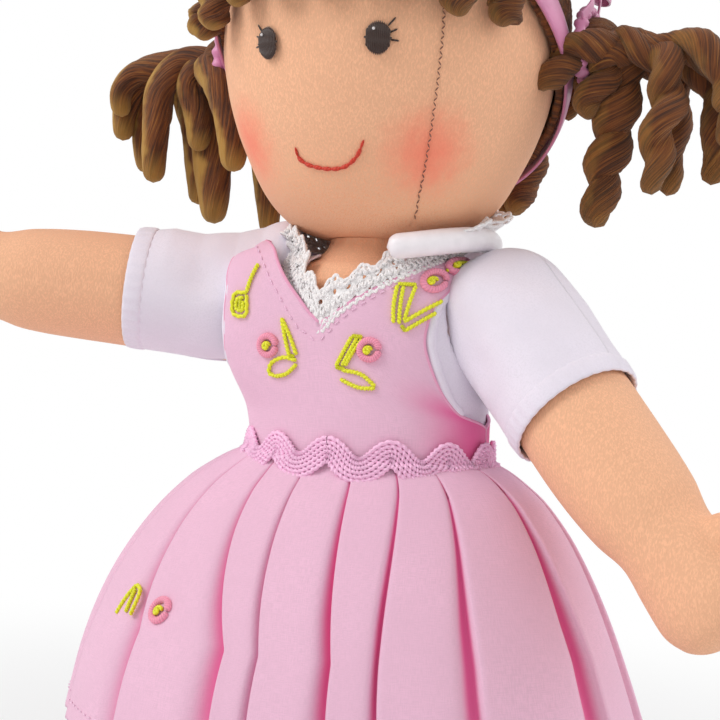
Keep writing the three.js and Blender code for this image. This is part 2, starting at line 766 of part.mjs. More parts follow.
// Foot and ankle, grown by the layers worn over them
function footForm(extra, floor) {
  const drop = soleToHip - soleThickness;
  const ankle = skin([
    levelRing(-drop, ankleRadius + extra, ankleRadius + extra, limbSides),
    levelRing(-soleToHip + sockHeight + footHeight, ankleRadius + extra, ankleRadius + extra, limbSides),
  ]);
  const frame = new THREE.Matrix4().makeTranslation(0, -footForward, -soleToHip + footHeight / 2);
  const [width, length, height] = [footWidth, footLength, footHeight].map((size) => size + 2 * extra);
  const foot = ellipsoid(width, length, height, frame, limbSides);
  const cut = box(overrun, overrun, overrun, 0, 0, -soleToHip + floor - overrun / 2);
  return solid(ankle).add(foot).subtract(cut);
}

function below(height) {
  return box(overrun, overrun, 2 * overrun, 0, 0, -soleToHip + height + overrun);
}

function makeLeg(name, side, parent) {
  const group = new THREE.Group();
  placeLeg(group, side, 0);
  parent.add(group);
  const legTop = bloomerRadius - knitThickness - clearance;
  const sockInside = clearance;
  const sockOutside = sockInside + knitThickness;
  const shoeInside = sockOutside + clearance;
  const shoeOutside = shoeInside + feltThickness;
  const sockFloor = 2 * clearance;
  const footFloor = sockFloor + knitThickness + clearance;

  const knee = soleToHip / 2;
  const ankle = soleToHip - sockHeight - footHeight / 2;
  const thigh = skin([
    ...ballRings(legTop),
    levelRing(0, legTop, legTop, limbSides),
    levelRing(-knee / 2, thighRadius, thighRadius, limbSides),
    levelRing(-knee, kneeRadius, kneeRadius, limbSides),
    levelRing(-ankle, ankleRadius, ankleRadius, limbSides),
    levelRing(-soleToHip + footHeight, ankleRadius, ankleRadius, limbSides),
  ]);
  piece(`${name}_leg`, geometryOf(solid(thigh).add(footForm(0, footFloor))), "skin", group);

  const inside = bloomerRadius - knitThickness;
  const frill = (share) => bloomerFrill * Math.cos(share * Math.PI * limbSides);
  const frillRing = (radius) => levelRing(-bloomerLength, radius, radius, limbSides, [0, 0], frill);
  const toFrill = bloomerLength - bloomerFrillHeight;
  const outer = [...ballRings(bloomerRadius, armholeAngle), ...straightRings(bloomerRadius, toFrill, 1)];
  const inner = [...ballRings(inside, armholeAngle), ...straightRings(inside, toFrill, 1)];
  const bloomer = skin([...outer, frillRing(bloomerRadius), frillRing(inside), ...inner.reverse()], true);
  piece(`${name}_bloomer_leg`, bloomer, "bloomer", group);

  const sock = footForm(sockOutside, sockFloor).subtract(footForm(sockInside, sockFloor + knitThickness));
  piece(`${name}_sock`, geometryOf(sock.subtract(below(sockHeight))), "bloomer", group);

  const throat = -ankleRadius - footLength / 6;
  const rim = -soleToHip + shoeHeight - feltThickness;
  const opening = box(overrun, footLength / 3, footHeight, 0, throat, rim);
  const hollow = footForm(shoeInside, -overrun / 2);
  const upper = footForm(shoeOutside, clearance).subtract(hollow).subtract(below(shoeHeight));
  piece(`${name}_shoe_upper`, geometryOf(mainBody(upper.subtract(opening))), "shoe", group);

  const soleHalfWidth = footWidth / 2 + shoeOutside + soleRim;
  const soleHalfLength = footLength / 2 + shoeOutside + soleRim;
  const sole = skin([0, soleThickness].map((z) =>
    levelRing(-soleToHip - soleThickness + z, soleHalfWidth, soleHalfLength, bodySides, [0, -footForward])));
  piece(`${name}_shoe_sole`, sole, "sole", group);

  // Strap over the instep, from one side of the shoe's throat to the other
  const strapInside = ankleRadius + sockOutside + clearance;
  const strapFoot = -soleToHip + shoeHeight + clearance;
  const strapRings = [];
  for (let k = 0; k <= 2 * curlSteps; k++) {
    const turn = THREE.MathUtils.degToRad(-180 + (180 * k) / (2 * curlSteps));
    const corner = (radius, rise) =>
      new THREE.Vector3(radius * Math.cos(turn), radius * Math.sin(turn), strapFoot + rise);
    strapRings.push([
      corner(strapInside, 0), corner(strapInside + feltThickness, 0),
      corner(strapInside + feltThickness, strapWidth), corner(strapInside, strapWidth),
    ]);
  }
  piece(`${name}_shoe_strap`, skin(strapRings), "shoe", group);
  const button = new THREE.CylinderGeometry(shoeButtonRadius, shoeButtonRadius, buttonThickness, smallSides);
  const buttonMesh = piece(`${name}_shoe_button`, button, "button", group);
  buttonMesh.rotation.z = Math.PI / 2;
  const buttonOut = strapInside + feltThickness + clearance + buttonThickness / 2;
  buttonMesh.position.set(side * buttonOut, 0, strapFoot + strapWidth / 2);
}

makeTorso(doll);
makeJerseyTop(doll);
makeBodice(doll);
makeLaceNeckline(doll);
makeSkirt(doll);
makeRicrac(doll);
makeBackButtons(doll);
makeLaceFrill(doll);
makeCollarRoll(doll);
makeBloomerSeat(doll);
makeHead(doll);
makeFringe(doll);
makeBackCurls(doll);
makeFace(doll);
for (const [name, side, droop] of [["left", 1, leftArmDroopAngle], ["right", -1, rightArmDroopAngle]]) {
  makeBunch(name, side, doll);
  makeTieAndBow(name, side, doll);
  makeArm(name, side, droop, doll);
  makeLeg(name, side, doll);
}

// The origin lies under the middle of the doll's box, on the plane of its soles
doll.updateMatrixWorld(true);
const bounds = new THREE.Box3().setFromObject(doll, true);
doll.position.set(-(bounds.min.x + bounds.max.x) / 2, -(bounds.min.y + bounds.max.y) / 2, -bounds.min.z);

export default doll;
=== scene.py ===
"""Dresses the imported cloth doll: stuffed body, yarn hair, dress, lace, embroidery, bloomers and shoes."""
import math

import bpy
import numpy as np
from mathutils import Euler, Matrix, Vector


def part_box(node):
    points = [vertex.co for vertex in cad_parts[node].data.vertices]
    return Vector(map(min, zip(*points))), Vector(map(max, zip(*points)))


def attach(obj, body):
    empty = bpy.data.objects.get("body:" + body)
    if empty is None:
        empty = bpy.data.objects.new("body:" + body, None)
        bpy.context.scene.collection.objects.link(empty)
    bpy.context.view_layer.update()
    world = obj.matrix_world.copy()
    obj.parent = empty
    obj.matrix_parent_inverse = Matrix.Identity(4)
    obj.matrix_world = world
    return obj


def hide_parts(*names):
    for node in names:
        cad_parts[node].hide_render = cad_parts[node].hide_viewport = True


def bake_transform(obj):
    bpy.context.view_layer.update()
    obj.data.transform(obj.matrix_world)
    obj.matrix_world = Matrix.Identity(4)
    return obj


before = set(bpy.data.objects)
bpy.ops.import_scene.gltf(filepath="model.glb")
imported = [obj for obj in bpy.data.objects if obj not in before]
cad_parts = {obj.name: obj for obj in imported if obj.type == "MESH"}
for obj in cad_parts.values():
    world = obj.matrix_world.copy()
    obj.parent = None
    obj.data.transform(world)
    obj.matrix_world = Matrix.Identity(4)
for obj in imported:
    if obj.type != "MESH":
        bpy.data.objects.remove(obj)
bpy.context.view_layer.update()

bl_info = {
    "name": "Cloth doll",
    "version": (1, 0, 0),
    "blender": (4, 5, 0),
    "location": "3D View > Sidebar > Cloth doll",
    "description": "Cloth, yarn, lace and thread for a stuffed doll in a pinafore dress",
    "category": "Object",
}

# Sizes below are millimetres about the doll's own middle line.
# The frame is in metres, with that line at AXIS_X
MM = 0.001
TAU = 2 * np.pi
AXIS_X = sum(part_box("neck"), Vector()).x / 2

# Heights
SOLE_TOP = 3
HIP_HEIGHT = 97
WAIST_HEIGHT = 132
SKIRT_TOP = 130.8
SHOULDER_HEIGHT = 165
TORSO_BOTTOM, TORSO_TOP = 85, 177
CHIN_HEIGHT = 181.6
HEAD_HEIGHT = 86

# Stuffed body
TORSO_WIDTH, TORSO_DEPTH = 58, 43
NECK_RADIUS, NECK_LENGTH, NECK_FLARE = 12, 4, (7.6, 4.2)
HEAD_RADIUS, HEAD_MIDDLE = 40.5, (0, 0, 222)
SHOULDER_SPACING, HIP_SPACING = 66, 29
ARM_LENGTH, ARM_RADIUS, ARM_FORWARD = 90, 12.6, 24
ARM_DROOP = {1: 44, -1: -4}
ARM_BALL = 15.5
PALM_HEIGHT, THUMB_RADIUS, THUMB_LENGTH = 68, 4.2, 9
LEG_BALL, LEG_LENGTH = 13.6, 80
# Width of a leg down its length
LEG_FORM = [(0, LEG_BALL - 1), (23.5, 12.2), (47, 10.3), (62, 9), (78, 8.6), (80, 0)]
# Height of the cheek seam against its longitude
CHEEK_SEAM = [(181, 43), (185.5, 42), (190, 40), (207.5, 39), (235, 38.5)]
EYE_HEIGHT, EYE_TURN, EYE_WIDTH, EYE_TALL = 40, 19, 5.4, 6.8
# Longitude and height of the blush
CHEEKS = ((-44, 202), (40, 199.5))

# Clothes
SIDES = (("left", 1), ("right", -1))
SLEEVE_OPENING = {1: 20, -1: 36}
SLEEVE_LENGTH, SLEEVE_HEM, SLEEVE_HEAD = 31, 3.6, 0.36
# Fullness of a sleeve along it, and how far the raised arm's sleeve puffs out above
SLEEVE_FORM = [(0, 0.99), (0.25, 1.03), (0.6, 1.05), (0.88, 1.0), (1, 0.985)]
SLEEVE_PUFF = [(0, 8), (0.1, 10), (0.2, 8), (0.36, 3.4), (0.5, 1.4), (0.7, 0.5), (0.88, 1.4), (1, 0.4)]
BLOOMER_LENGTH, BLOOMER_HEAD = 42, 0.22
# How far the bloomers' seat reaches below and above the hips
SEAT_DEPTH, SEAT_RISE = 11.4, 24
# Fullness of a bloomer leg, by how far below the hip it is
BLOOMER_FORM = [(-20, 1), (0, 1), (14, 1.06), (28, 1.05), (34.5, 0.97), (36.3, 0.945), (38, 1.0), (42, 1.1)]
# Height of a shoe's rim, by the angle from its toe
SHOE_RIM = [(0, 18.6), (30, 15.6), (62, 14.0), (90, 16.6), (118, 20.8), (180, 22)]
COLLAR_WIDTH, COLLAR_DEPTH, COLLAR_RADIUS = 27, 24, 2.85
FRILL_RADIUS, FRILL_RUFFLES = 18.8, 15
STITCH_RADIUS = 0.17
FOOT_BACK, FOOT_HALF, ANKLE_RADIUS = -5.5, (10.25, 17.5, 9.5), 9.9
SOLE_HALF_WIDTH, SOLE_HALF_LENGTH = 12.6, 19.9
SOCK_HEIGHT = 38.2
STRAP_HEIGHT, STRAP_RADIUS = SOLE_TOP + 21.3, 10.9

# Layers over the body: how far out each one lies
JERSEY_LAYER = 0.65
DRESS_LAYER = 1.7
TRIM_LAYER = 2.9
NECKLINE_SHIFT = 4.4
HAIR_LAYER = 1.9
BAND_LAYER = 3.9

# Height, half width and half depth of the torso, as shares
TORSO_FORM = [
    (0, 0.3, 0.3), (0.03, 0.62, 0.6), (0.1, 0.86, 0.84), (0.2, 0.98, 0.96), (0.33, 1, 1),
    (0.45, 0.97, 0.97), (0.51, 0.955, 0.95), (0.6, 0.95, 0.94), (0.705, 0.95, 0.94), (0.815, 0.95, 0.94),
    (0.89, 0.92, 0.91), (0.945, 0.84, 0.84), (0.98, 0.7, 0.75), (1, 0.52, 0.62),
]
# Height and radius of the head, as shares
HEAD_FORM = [
    (0, 0.3), (0.014, 0.43), (0.035, 0.53), (0.08, 0.64), (0.13, 0.72), (0.21, 0.81), (0.29, 0.885),
    (0.4, 0.955), (0.52, 0.995), (0.64, 0.985), (0.75, 0.91), (0.85, 0.75), (0.93, 0.52), (0.98, 0.26),
    (1, 0.08),
]
# Arm: length, width and thickness, as shares
ARM_FORM = [
    (0, 1.16, 1.16), (0.1, 1.12, 1.12), (0.18, 1.09, 1.09), (0.34, 1.11, 1.1), (0.44, 1.1, 1.07),
    (0.54, 1.07, 1.02), (0.64, 1.0, 0.95), (0.73, 0.86, 0.82), (0.81, 0.95, 0.76), (0.89, 1, 0.72),
    (0.95, 0.84, 0.6), (0.985, 0.52, 0.38), (1, 0.04, 0.03),
]
# Skirt: drop, flare at its sides, flare in front and depth of its pleats, as shares
SKIRT_FORM = [
    (0, 0, 0, 0.03), (0.03, 0.13, 0.012, 0.1), (0.08, 0.26, 0.07, 0.24), (0.14, 0.38, 0.17, 0.4),
    (0.3, 0.585, 0.4, 0.7), (0.53, 0.775, 0.67, 0.92), (0.75, 0.895, 0.86, 0.97), (1, 1, 1, 1)]
SKIRT_SWAY = 2.4
SKIRT_LENGTH, SKIRT_WIDTH, SKIRT_DEPTH, PLEAT_DEPTH = 64, 142, 126, 4.4
# Where each pleat's fold leaves the waist seam and where it hangs at the middle of the skirt, in degrees
PLEAT_FOLDS = [
    (-172, -174), (-150, -154), (-128, -130), (-104, -104), (-80, -76), (-60, -53), (-42, -31), (-24, -9.4),
    (-8.5, -0.1), (9.8, 15.1), (27.1, 26.2), (43, 45), (70, 75.5), (98, 98), (124, 122), (150, 148),
]
# One pleat: way round it, where that lies between its fold and the next, and how deep it is folded in
PLEAT_FORM = [
    (0, 0, 0), (0.06, 0.012, -0.07), (0.14, 0.07, -0.05), (0.28, 0.3, 0), (0.4, 0.52, 0), (0.5, 0.68, 0.02),
    (0.6, 0.77, 0.07), (0.69, 0.83, 0.34), (0.78, 0.89, 0.74), (0.86, 0.95, 1.0), (0.93, 1.0, 1.0),
    (0.97, 1.006, 0.5), (1, 1, 0),
]
# Edges of a bodice half from the waist to the shoulder: longitude in degrees and height
NECK_EDGE = [
    (0, 130.9), (0, 141), (0, 150), (0, 160), (6.7, 163.5), (20.8, 168.9), (42, 174.2), (66, 177.1),
    (90, 178.4),
]
ARMHOLE_EDGE = [
    (90, 130.9), (90, 138.2), (62, 142.2), (49.5, 149), (43.6, 158.5), (46, 164.6), (55, 169.6),
    (70, 173.4), (90, 175.6),
]
BACK_EDGE = [
    (0, 130.9), (0, 141), (0, 150), (0, 160), (0, 166), (0, 171.5), (24, 174), (58, 177.3), (90, 178.4),
]
# Neckline lace: longitude and height of its foot, down one side of the V and up the other, and of its edge
LACE_FOOT = [
    (-84, 178.2), (-60, 176.6), (-38, 173), (-20, 167.6), (-9, 163), (0, 158.6), (9, 163), (20, 167.6),
    (38, 173), (60, 176.6), (84, 178.2),
]
LACE_EDGE = [
    (-84, 182.6), (-62, 183.4), (-44, 182.4), (-27, 178.6), (-13, 173.2), (0, 169.8), (12, 172.6),
    (25, 176), (41, 178.8), (60, 179.8), (84, 180.2),
]
# Braid: waves round the waist and where one crest lies
BRAID_WAVES, BRAID_CREST, BRAID_SWING, BRAID_WIDTH = 13, 0.2, 2.1, 6
# Left and right bunch: out, back and drop of each ringlet's tip, and its thickness, as shares
BUNCH_FORM = {
    1: [(-0.32, 0.34, 0.36, 0.8), (-0.3, -0.3, 0.3, 0.9), (-0.1, 0.05, 0.36, 1), (0.04, 0.1, 1.04, 1.05),
        (0.5, 0.42, 0.82, 0.9), (0.52, -0.22, 0.88, 0.9), (0.86, 0.2, 0.78, 0.9), (1, 0, 0.6, 0.92)],
    -1: [(-0.32, 0.34, 1.1, 0.8), (-0.3, -0.3, 0.75, 0.9), (0.06, 0.05, 1.05, 1.1), (0.26, 0.1, 0.92, 0.8),
         (0.5, 0.42, 0.66, 0.86), (0.52, -0.22, 0.81, 0.88), (0.86, 0.2, 0.7, 0.86), (1, 0, 0.5, 0.9)],
}
BUNCH_PATH = [(0, 0, 0), (0.35, 0.03, 1), (0.75, 0.22, 0.8), (0.96, 0.56, 0.3), (1, 1, 0)]
BUNCH_OUT, BUNCH_BACK, BUNCH_HEIGHT, BUNCH_KNOT, BUNCH_SPREAD, BUNCH_DROP = 49, 6, 228.6, 6.4, 31, 40
RINGLET_RADIUS = 5
HAIRLINE_FRONT = (-36.5, CHIN_HEIGHT + 67)
HAIRLINE_BACK = (14, CHIN_HEIGHT + 29)
# Way that the side of each ringlet with a painted highlight faces, towards the key lamp
LIGHT_SIDE = np.array([-0.9, -0.4, 0.1])

# Smile, from corner to corner: x and z on the face
SMILE = [
    (-8.1, 199.7), (-7.5, 197.4), (-5.5, 196), (-2.5, 195.2), (0.6, 194.9), (3.5, 195.3), (6.5, 197.3),
    (8.8, 201),
]
# Flowers and leaves on the dress front: x and z in the middle of the chest
FLOWERS = [(-17.4, 155.2), (8.1, 155.6), (20.2, 172.1), (23.6, 176.6)]
LEAVES = [
    [(-14.1, 161.6), (-12.9, 157), (-11.5, 152.9)], [(-14, 161.4), (-11.5, 157.2), (-9.7, 153.4)],
    [(-11.7, 153), (-10.2, 153.2)],
    [(-9.6, 152.2), (-13.1, 152.7), (-16.8, 150.4), (-16.9, 149), (-15.2, 148.3)],
    [(-15.4, 148.2), (-12.4, 148.9), (-9.5, 151.4)], [(3.9, 158.4), (1.9, 154.5), (0.4, 151.4)],
    [(5.2, 158.2), (3.4, 154.6), (1.9, 151.6)], [(3.8, 158.5), (6.4, 158.4)],
    [(6.4, 158), (4.3, 154.8), (2.6, 151.6)], [(0.3, 151.3), (2.7, 150.9)],
    [(1.9, 150.7), (6.6, 149.9), (9.9, 147.4)], [(9.9, 147), (6.6, 146.9), (1.6, 148.6)],
    [(13.0, 170.6), (12.7, 166), (13, 161.8)], [(14.3, 170.4), (14.1, 166), (14.2, 161.7)],
    [(13, 170.8), (16.9, 170.9)], [(16.8, 170.7), (15.9, 166.5), (15.2, 162.4)],
    [(22.3, 167.6), (18, 164.4), (15.1, 162.2)], [(21.4, 164.8), (18, 162.2), (15.4, 160.2)],
    [(14.6, 161.6), (15.6, 160.1)], [(21.6, 177), (21.9, 174.4)], [(22.5, 177), (22.6, 174.4)],
    [(24.2, 175.9), (26, 175.6)], [(24.3, 175.1), (26, 174.8)],
    [(-22.2, 172.8), (-23.5, 169.3), (-24.3, 166.2)],
    [(-24.1, 166.3), (-27.6, 165.9), (-27.7, 161.7), (-24.1, 161.5), (-24.1, 166)],
    [(-24.8, 165.2), (-26.6, 164.9), (-26.7, 162.7), (-25, 162.6), (-24.9, 164.6)],
    [(-25.8, 165), (-25.7, 162.4)],
]
SKIRT_FLOWER = (-23.5, 96.2)
SKIRT_LEAVES = [
    [(-36, 99.4), (-37.6, 96.5), (-38.6, 92.6)], [(-36, 99.4), (-33.8, 98.8), (-32.4, 93.4)],
    [(-35.6, 98.6), (-34.8, 93.6)],
]
# Dress over the raised arm's shoulder, full and square: height, added half width, squareness, lift
FULL_FORM = [
    (130, 0, 2, 0), (140, 1.6, 2.2, 0), (150, 5, 3.2, 0), (158, 7, 4.2, 0.4), (168, 8, 4.6, 1.6),
    (178, 9, 3.4, 3),
]
FULL_ARMHOLE = [
    (90, 130.9), (90, 137), (90, 143), (84, 148.5), (67, 152.5), (58.5, 159), (57.5, 166), (68, 173),
    (90, 176.8),
]

# Camera, as fitted to the photograph
CAMERA_AZIMUTH, CAMERA_ELEVATION, CAMERA_ROLL = 23.75, 0.2, 3.25
CAMERA_DISTANCE, CAMERA_LENS, CAMERA_HEIGHT, CAMERA_ASIDE = 320, 66.0, 153.1, -3.28
# Each lamp's place and width in metres and its power in watts
LAMPS = [
    ("key_softbox", (-0.75, -0.72, 1.0), 0.7, 10), ("fill_softbox", (1.0, -0.5, 0.55), 0.9, 1.5),
    ("back_softbox", (0.95, 0.4, 0.8), 0.8, 5)]
LIT_HEIGHT, ROOM_LIGHT = 0.15, 0.5
FLOOR_SIZE, FLOOR_SHADE = 12, (0.9, 0.9, 0.9)
# How far from the doll, in metres, the floor starts and ends fading to white
FLOOR_FADE = (0.16, 0.5)


def swatch(name, colour, note):
    """A colour setting, written as it looks on screen in 0-255 steps."""
    linear = tuple((c / 255 / 12.92) if c < 11 else ((c / 255 + 0.055) / 1.055) ** 2.4 for c in colour)
    return bpy.props.FloatVectorProperty(
        name=name, description=note, subtype="COLOR", size=3, min=0, max=1, default=linear)


def size_setting(name, value, note):
    return bpy.props.FloatProperty(
        name=name, description=note, default=value * MM, min=0.01 * MM, max=0.2, unit="LENGTH",
        subtype="DISTANCE")


class DollColours(bpy.types.PropertyGroup):
    """Colours of the doll's cloths, yarns and threads."""
    skin: swatch("Skin", (250, 190, 150), "Knitted skin in the light")
    # Painted shade: this darker colour is painted at the chin and neck, in flecks that follow the knit
    chin: swatch("Chin", (230, 156, 116), "Knitted skin at the chin, where the knit looks heathered")
    blush: swatch("Blush", (250, 126, 100), "Rubbed colour on the cheeks")
    poplin: swatch("Dress", (238, 190, 214), "Poplin of the dress")
    # Painted shade: the deeper pink painted into the pleats, under the lowered arm and on the bodice's rolled
    # edges, for their shade and the light through the cloth
    fold: swatch("Fold", (232, 100, 158), "Poplin deep in a pleat, lit through the cloth")
    jersey: swatch("Jersey", (236, 228, 240), "Jersey top and sleeves")
    braid: swatch("Braid", (255, 196, 228), "Wavy braid on the waist seam")
    lace: swatch("Lace", (255, 251, 251), "Crocheted cotton lace")
    satin: swatch("Satin", (250, 244, 248), "Rolled satin collar")
    ribbon: swatch("Ribbon", (206, 128, 166), "Hairband, ties and bows")
    # Painted shade: this dark colour is painted into the hollows between the strands
    hair_hollow_shade: swatch("Hair, deep", (60, 28, 8), "Yarn in the hollows of the ringlets")
    hair: swatch("Hair", (128, 70, 24), "Yarn of the ringlets")
    # Painted highlight: this colour lights the side of each ringlet that faces the key lamp, and also
    # lightens the tips and the brightest strands
    hair_tip_and_highlight: swatch("Hair, tips", (186, 142, 66), "Sun-bleached ends of the ringlets")
    leaf: swatch("Leaf thread", (230, 230, 30), "Embroidered leaves and flower middles")
    petal: swatch("Petal thread", (246, 150, 176), "Embroidered flower rings")
    smile: swatch("Smile thread", (200, 50, 24), "Stitched mouth")
    eye: swatch("Eye thread", (52, 30, 20), "Stitched eyes")
    cotton: swatch("Cotton", (246, 240, 242), "Bloomers and socks")
    felt: swatch("Felt", (206, 116, 160), "Shoe uppers and straps")
    sole: swatch("Sole", (176, 140, 120), "Shoe soles")
    button: swatch("Button", (244, 238, 240), "Pearly buttons")


class DollSizes(bpy.types.PropertyGroup):
    """Sizes of stitches, strands and creases."""
    cloth: size_setting("Cloth", 0.6, "Thickness of the dress and jersey cloth")
    thread: size_setting("Thread", 0.95, "Thickness of the embroidery thread")
    crease: size_setting("Crease", 1.7, "Depth of the sleeves' creases")
    yarn_ridge: size_setting("Yarn ridge", 0.75, "Height of the yarn ridges on the cap of hair")


# Measuring

def xyz(x, y, z):
    return np.stack([x, y, z], axis=-1)


def between_rows(table, at):
    """Second column of a table, read along straight lines between its rows."""
    steps, values = np.array(table, float).T
    return np.interp(at, steps, values)


def eased(table, at):
    """Columns of a table of shares, read smoothly between its rows."""
    rows = np.array(table, float)
    steps, wide = rows[:, 0], np.diff(rows[:, 0])
    at = np.clip(np.asarray(at, float), steps[0], steps[-1])
    k = np.clip(np.searchsorted(steps, at, side="right") - 1, 0, len(wide) - 1)
    t = (at - steps[k]) / wide[k]
    found = []
    for column in rows[:, 1:].T:
        slope = np.diff(column) / wide
        both = slope[:-1] * slope[1:]
        inner = np.where(both > 0, 2 * both / np.where(both > 0, slope[:-1] + slope[1:], 1), 0)
        m = np.concatenate([slope[:1], inner, slope[-1:]])
        found.append(column[k] * (1 + 2 * t) * (1 - t) ** 2 + column[k + 1] * t * t * (3 - 2 * t)
                     + wide[k] * (m[k] * t * (1 - t) ** 2 - m[k + 1] * t * t * (1 - t)))
    return found


def smooth_path(points, count):
    """Evenly spread points on a smooth line through the given ones."""
    points = np.array(points, float)
    gaps = np.linalg.norm(np.diff(points, axis=0), axis=1)
    along = np.concatenate([[0], np.cumsum(gaps)])
    slopes = (np.gradient(points, along, axis=0) if len(points) > 2
              else np.diff(points, axis=0).repeat(2, 0) / gaps[0])
    fine = np.linspace(0, along[-1], 8 * count)
    k = np.clip(np.searchsorted(along, fine, side="right") - 1, 0, len(gaps) - 1)
    t = ((fine - along[k]) / gaps[k])[:, None]
    h = gaps[k][:, None]
    line = (points[k] * (1 + 2 * t) * (1 - t) ** 2 + points[k + 1] * t * t * (3 - 2 * t)
            + h * (slopes[k] * t * (1 - t) ** 2 - slopes[k + 1] * t * t * (1 - t)))
    run = np.concatenate([[0], np.cumsum(np.linalg.norm(np.diff(line, axis=0), axis=1))])
    even = np.linspace(0, run[-1], count)
    return np.stack([np.interp(even, run, line[:, i]) for i in range(3)], axis=1)


def smooth_flat(points, count):
    """The same for points of two measures, such as longitude and height."""
    line = np.array(points, float)
    return smooth_path(np.column_stack([line, 0 * line[:, 0]]), count)


def torso_ring(z, offset):
    share = (z - TORSO_BOTTOM + offset) / (TORSO_TOP - TORSO_BOTTOM + 2 * offset)
    wide, deep = eased(TORSO_FORM, share)
    return wide * TORSO_WIDTH / 2 + offset, deep * TORSO_DEPTH / 2 + offset


def on_torso(longitude, z, offset):
    """Points on the body; longitude 0 is the middle of the chest, and the doll's left is positive."""
    wide, deep = torso_ring(z, offset)
    turn = np.radians(longitude)
    return xyz(wide * np.sin(turn), -deep * np.cos(turn), z + 0 * turn)


def on_dress(longitude, z, offset, side):
    """Points of the dress on one side of its middle; only the side of the raised arm is full."""
    z = np.asarray(z, float) + 0 * longitude
    wide, deep = torso_ring(z, offset)
    turn = np.radians(longitude)
    added, square, lift = (v if side < 0 else w + 0 * v for v, w in zip(eased(FULL_FORM, z), (0, 2, 0)))
    across = np.abs(np.sin(turn))
    reach = (1 - np.minimum(across, 1) ** square) ** (1 / square)
    x = side * (wide + added) * across
    return xyz(x, -deep * np.sign(np.cos(turn)) * reach, z + lift * np.abs(x) / 30)


def shifted_aside(points, offset):
    """Front of the bodice, drawn over to the doll's right towards the neckline."""
    x, y, z = points.T
    wide, _ = torso_ring(z, offset)
    full, square, _ = eased(FULL_FORM, z)

    def reach(at):
        right = (1 - np.minimum(np.abs(at) / (wide + full), 1) ** square) ** (1 / square)
        return np.where(at < 0, right, np.sqrt(1 - np.minimum(np.abs(at) / wide, 1) ** 2))
    share = np.clip((z - 136) / 20, 0, 1) * np.cos(np.pi / 2 * np.clip(np.abs(x) / wide, 0, 1)) ** 2
    aside = x - NECKLINE_SHIFT * share
    return xyz(aside, y * reach(aside) / np.maximum(reach(x), 0.05), z)


def on_dress_front(x, z, offset):
    """Points on the front of the dress, by x and height."""
    x, z = np.asarray(x, float), np.asarray(z, float)
    side = -1 if x.mean() < 0 else 1
    wide = torso_ring(z, offset)[0] + (eased(FULL_FORM, z)[0] if side < 0 else 0)
    return on_dress(np.degrees(np.arcsin(np.clip(np.abs(x) / wide, 0, 1))), z, offset, side)


def head_ring(z, offset):
    share = (z - CHIN_HEIGHT + offset) / (HEAD_HEIGHT + 2 * offset)
    return eased(HEAD_FORM, share)[0] * HEAD_RADIUS + offset * (share > 0)


def on_head(longitude, z, offset):
    radius, turn = head_ring(z, offset), np.radians(longitude)
    return xyz(radius * np.sin(turn), -radius * np.cos(turn), z + 0 * turn)


def on_face(x, z, offset):
    radius = head_ring(np.asarray(z, float), offset)
    return on_head(np.degrees(np.arcsin(np.clip(x / radius, -1, 1))), np.asarray(z, float), offset)


def hairline_height(longitude, setback, offset):
    """Height at which the slanting plane of the hairline, moved back by setback, meets the head."""
    (front_y, front_z), (back_y, back_z) = HAIRLINE_FRONT, HAIRLINE_BACK
    slope = (back_z - front_z) / (back_y - front_y)
    lift = setback * math.hypot(1, slope)
    z = np.full(np.shape(longitude), 220.0)
    for _ in range(60):
        y = -head_ring(z, offset) * np.cos(np.radians(longitude))
        z = 0.6 * z + 0.4 * (front_z + slope * (y - front_y) + lift)
    return z


def clear_of_arms(points, radius):
    """Cloth of the body that would lie in an arm's round top is pressed in to it."""
    x, y, z = points.T
    reach = radius ** 2 - y ** 2 - (z - SHOULDER_HEIGHT) ** 2
    limit = SHOULDER_SPACING / 2 - np.sqrt(np.maximum(reach, 0))
    return xyz(np.where(reach > 0, np.clip(x, -limit, limit), x), y, z)


def clear_of_legs(points, radius):
    x, y, z = points.T
    reach = radius ** 2 - y ** 2 - (np.abs(x) - HIP_SPACING / 2) ** 2
    raised = np.maximum(z, HIP_HEIGHT + np.sqrt(np.maximum(reach, 0)))
    return xyz(x, y, np.where(reach > 0, raised, z))


def arm_place(side):
    """Turn and pivot of an arm, which hangs down its own -Z."""
    turn = Euler((0, -side * math.radians(90 - ARM_DROOP[side]), -side * math.radians(ARM_FORWARD)), "XYZ")
    return np.array(turn.to_matrix()), np.array([side * SHOULDER_SPACING / 2, 0, SHOULDER_HEIGHT])


def unit(vectors):
    return vectors / np.linalg.norm(vectors, axis=1)[:, None]


def squared_off(wave, power):
    """A wave between -1 and 1 with flatter crests, for the outline of folded cloth."""
    return np.sign(wave) * np.abs(wave) ** power


def turned(radius, turn, z):
    """Points at a radius round the Z axis."""
    return xyz(radius * np.cos(turn), radius * np.sin(turn), z)


def closing(along, share):
    """0 at both ends of a form and 1 between them, so that it closes at its poles."""
    return np.clip(np.minimum(along, 1 - along) / share, 0, 1)


def put(points, place):
    turn, pivot = place
    return np.asarray(points) @ turn.T + pivot


def ripple(seed, waves, *coordinates):
    """Soft, seeded unevenness between -1 and 1 over the given coordinates."""
    random = np.random.default_rng(seed)
    total = 0
    for _ in range(waves):
        phase = random.uniform(0, TAU)
        total = total + np.sin(sum(random.uniform(-1, 1) * c for c in coordinates) + phase)
    return total / waves ** 0.75


# Making meshes

def mode(name):
    bpy.ops.object.mode_set(mode=name)


def deselect():
    if bpy.context.object and bpy.context.object.mode != "OBJECT":
        mode("OBJECT")
    bpy.ops.object.select_all(action="DESELECT")


def pick(*pieces):
    deselect()
    for piece in pieces:
        piece.select_set(True)
    bpy.context.view_layer.objects.active = pieces[0]
    return pieces[0]


def corners(piece):
    flat = np.empty(len(piece.data.vertices) * 3)
    piece.data.vertices.foreach_get("co", flat)
    return flat.reshape(-1, 3)


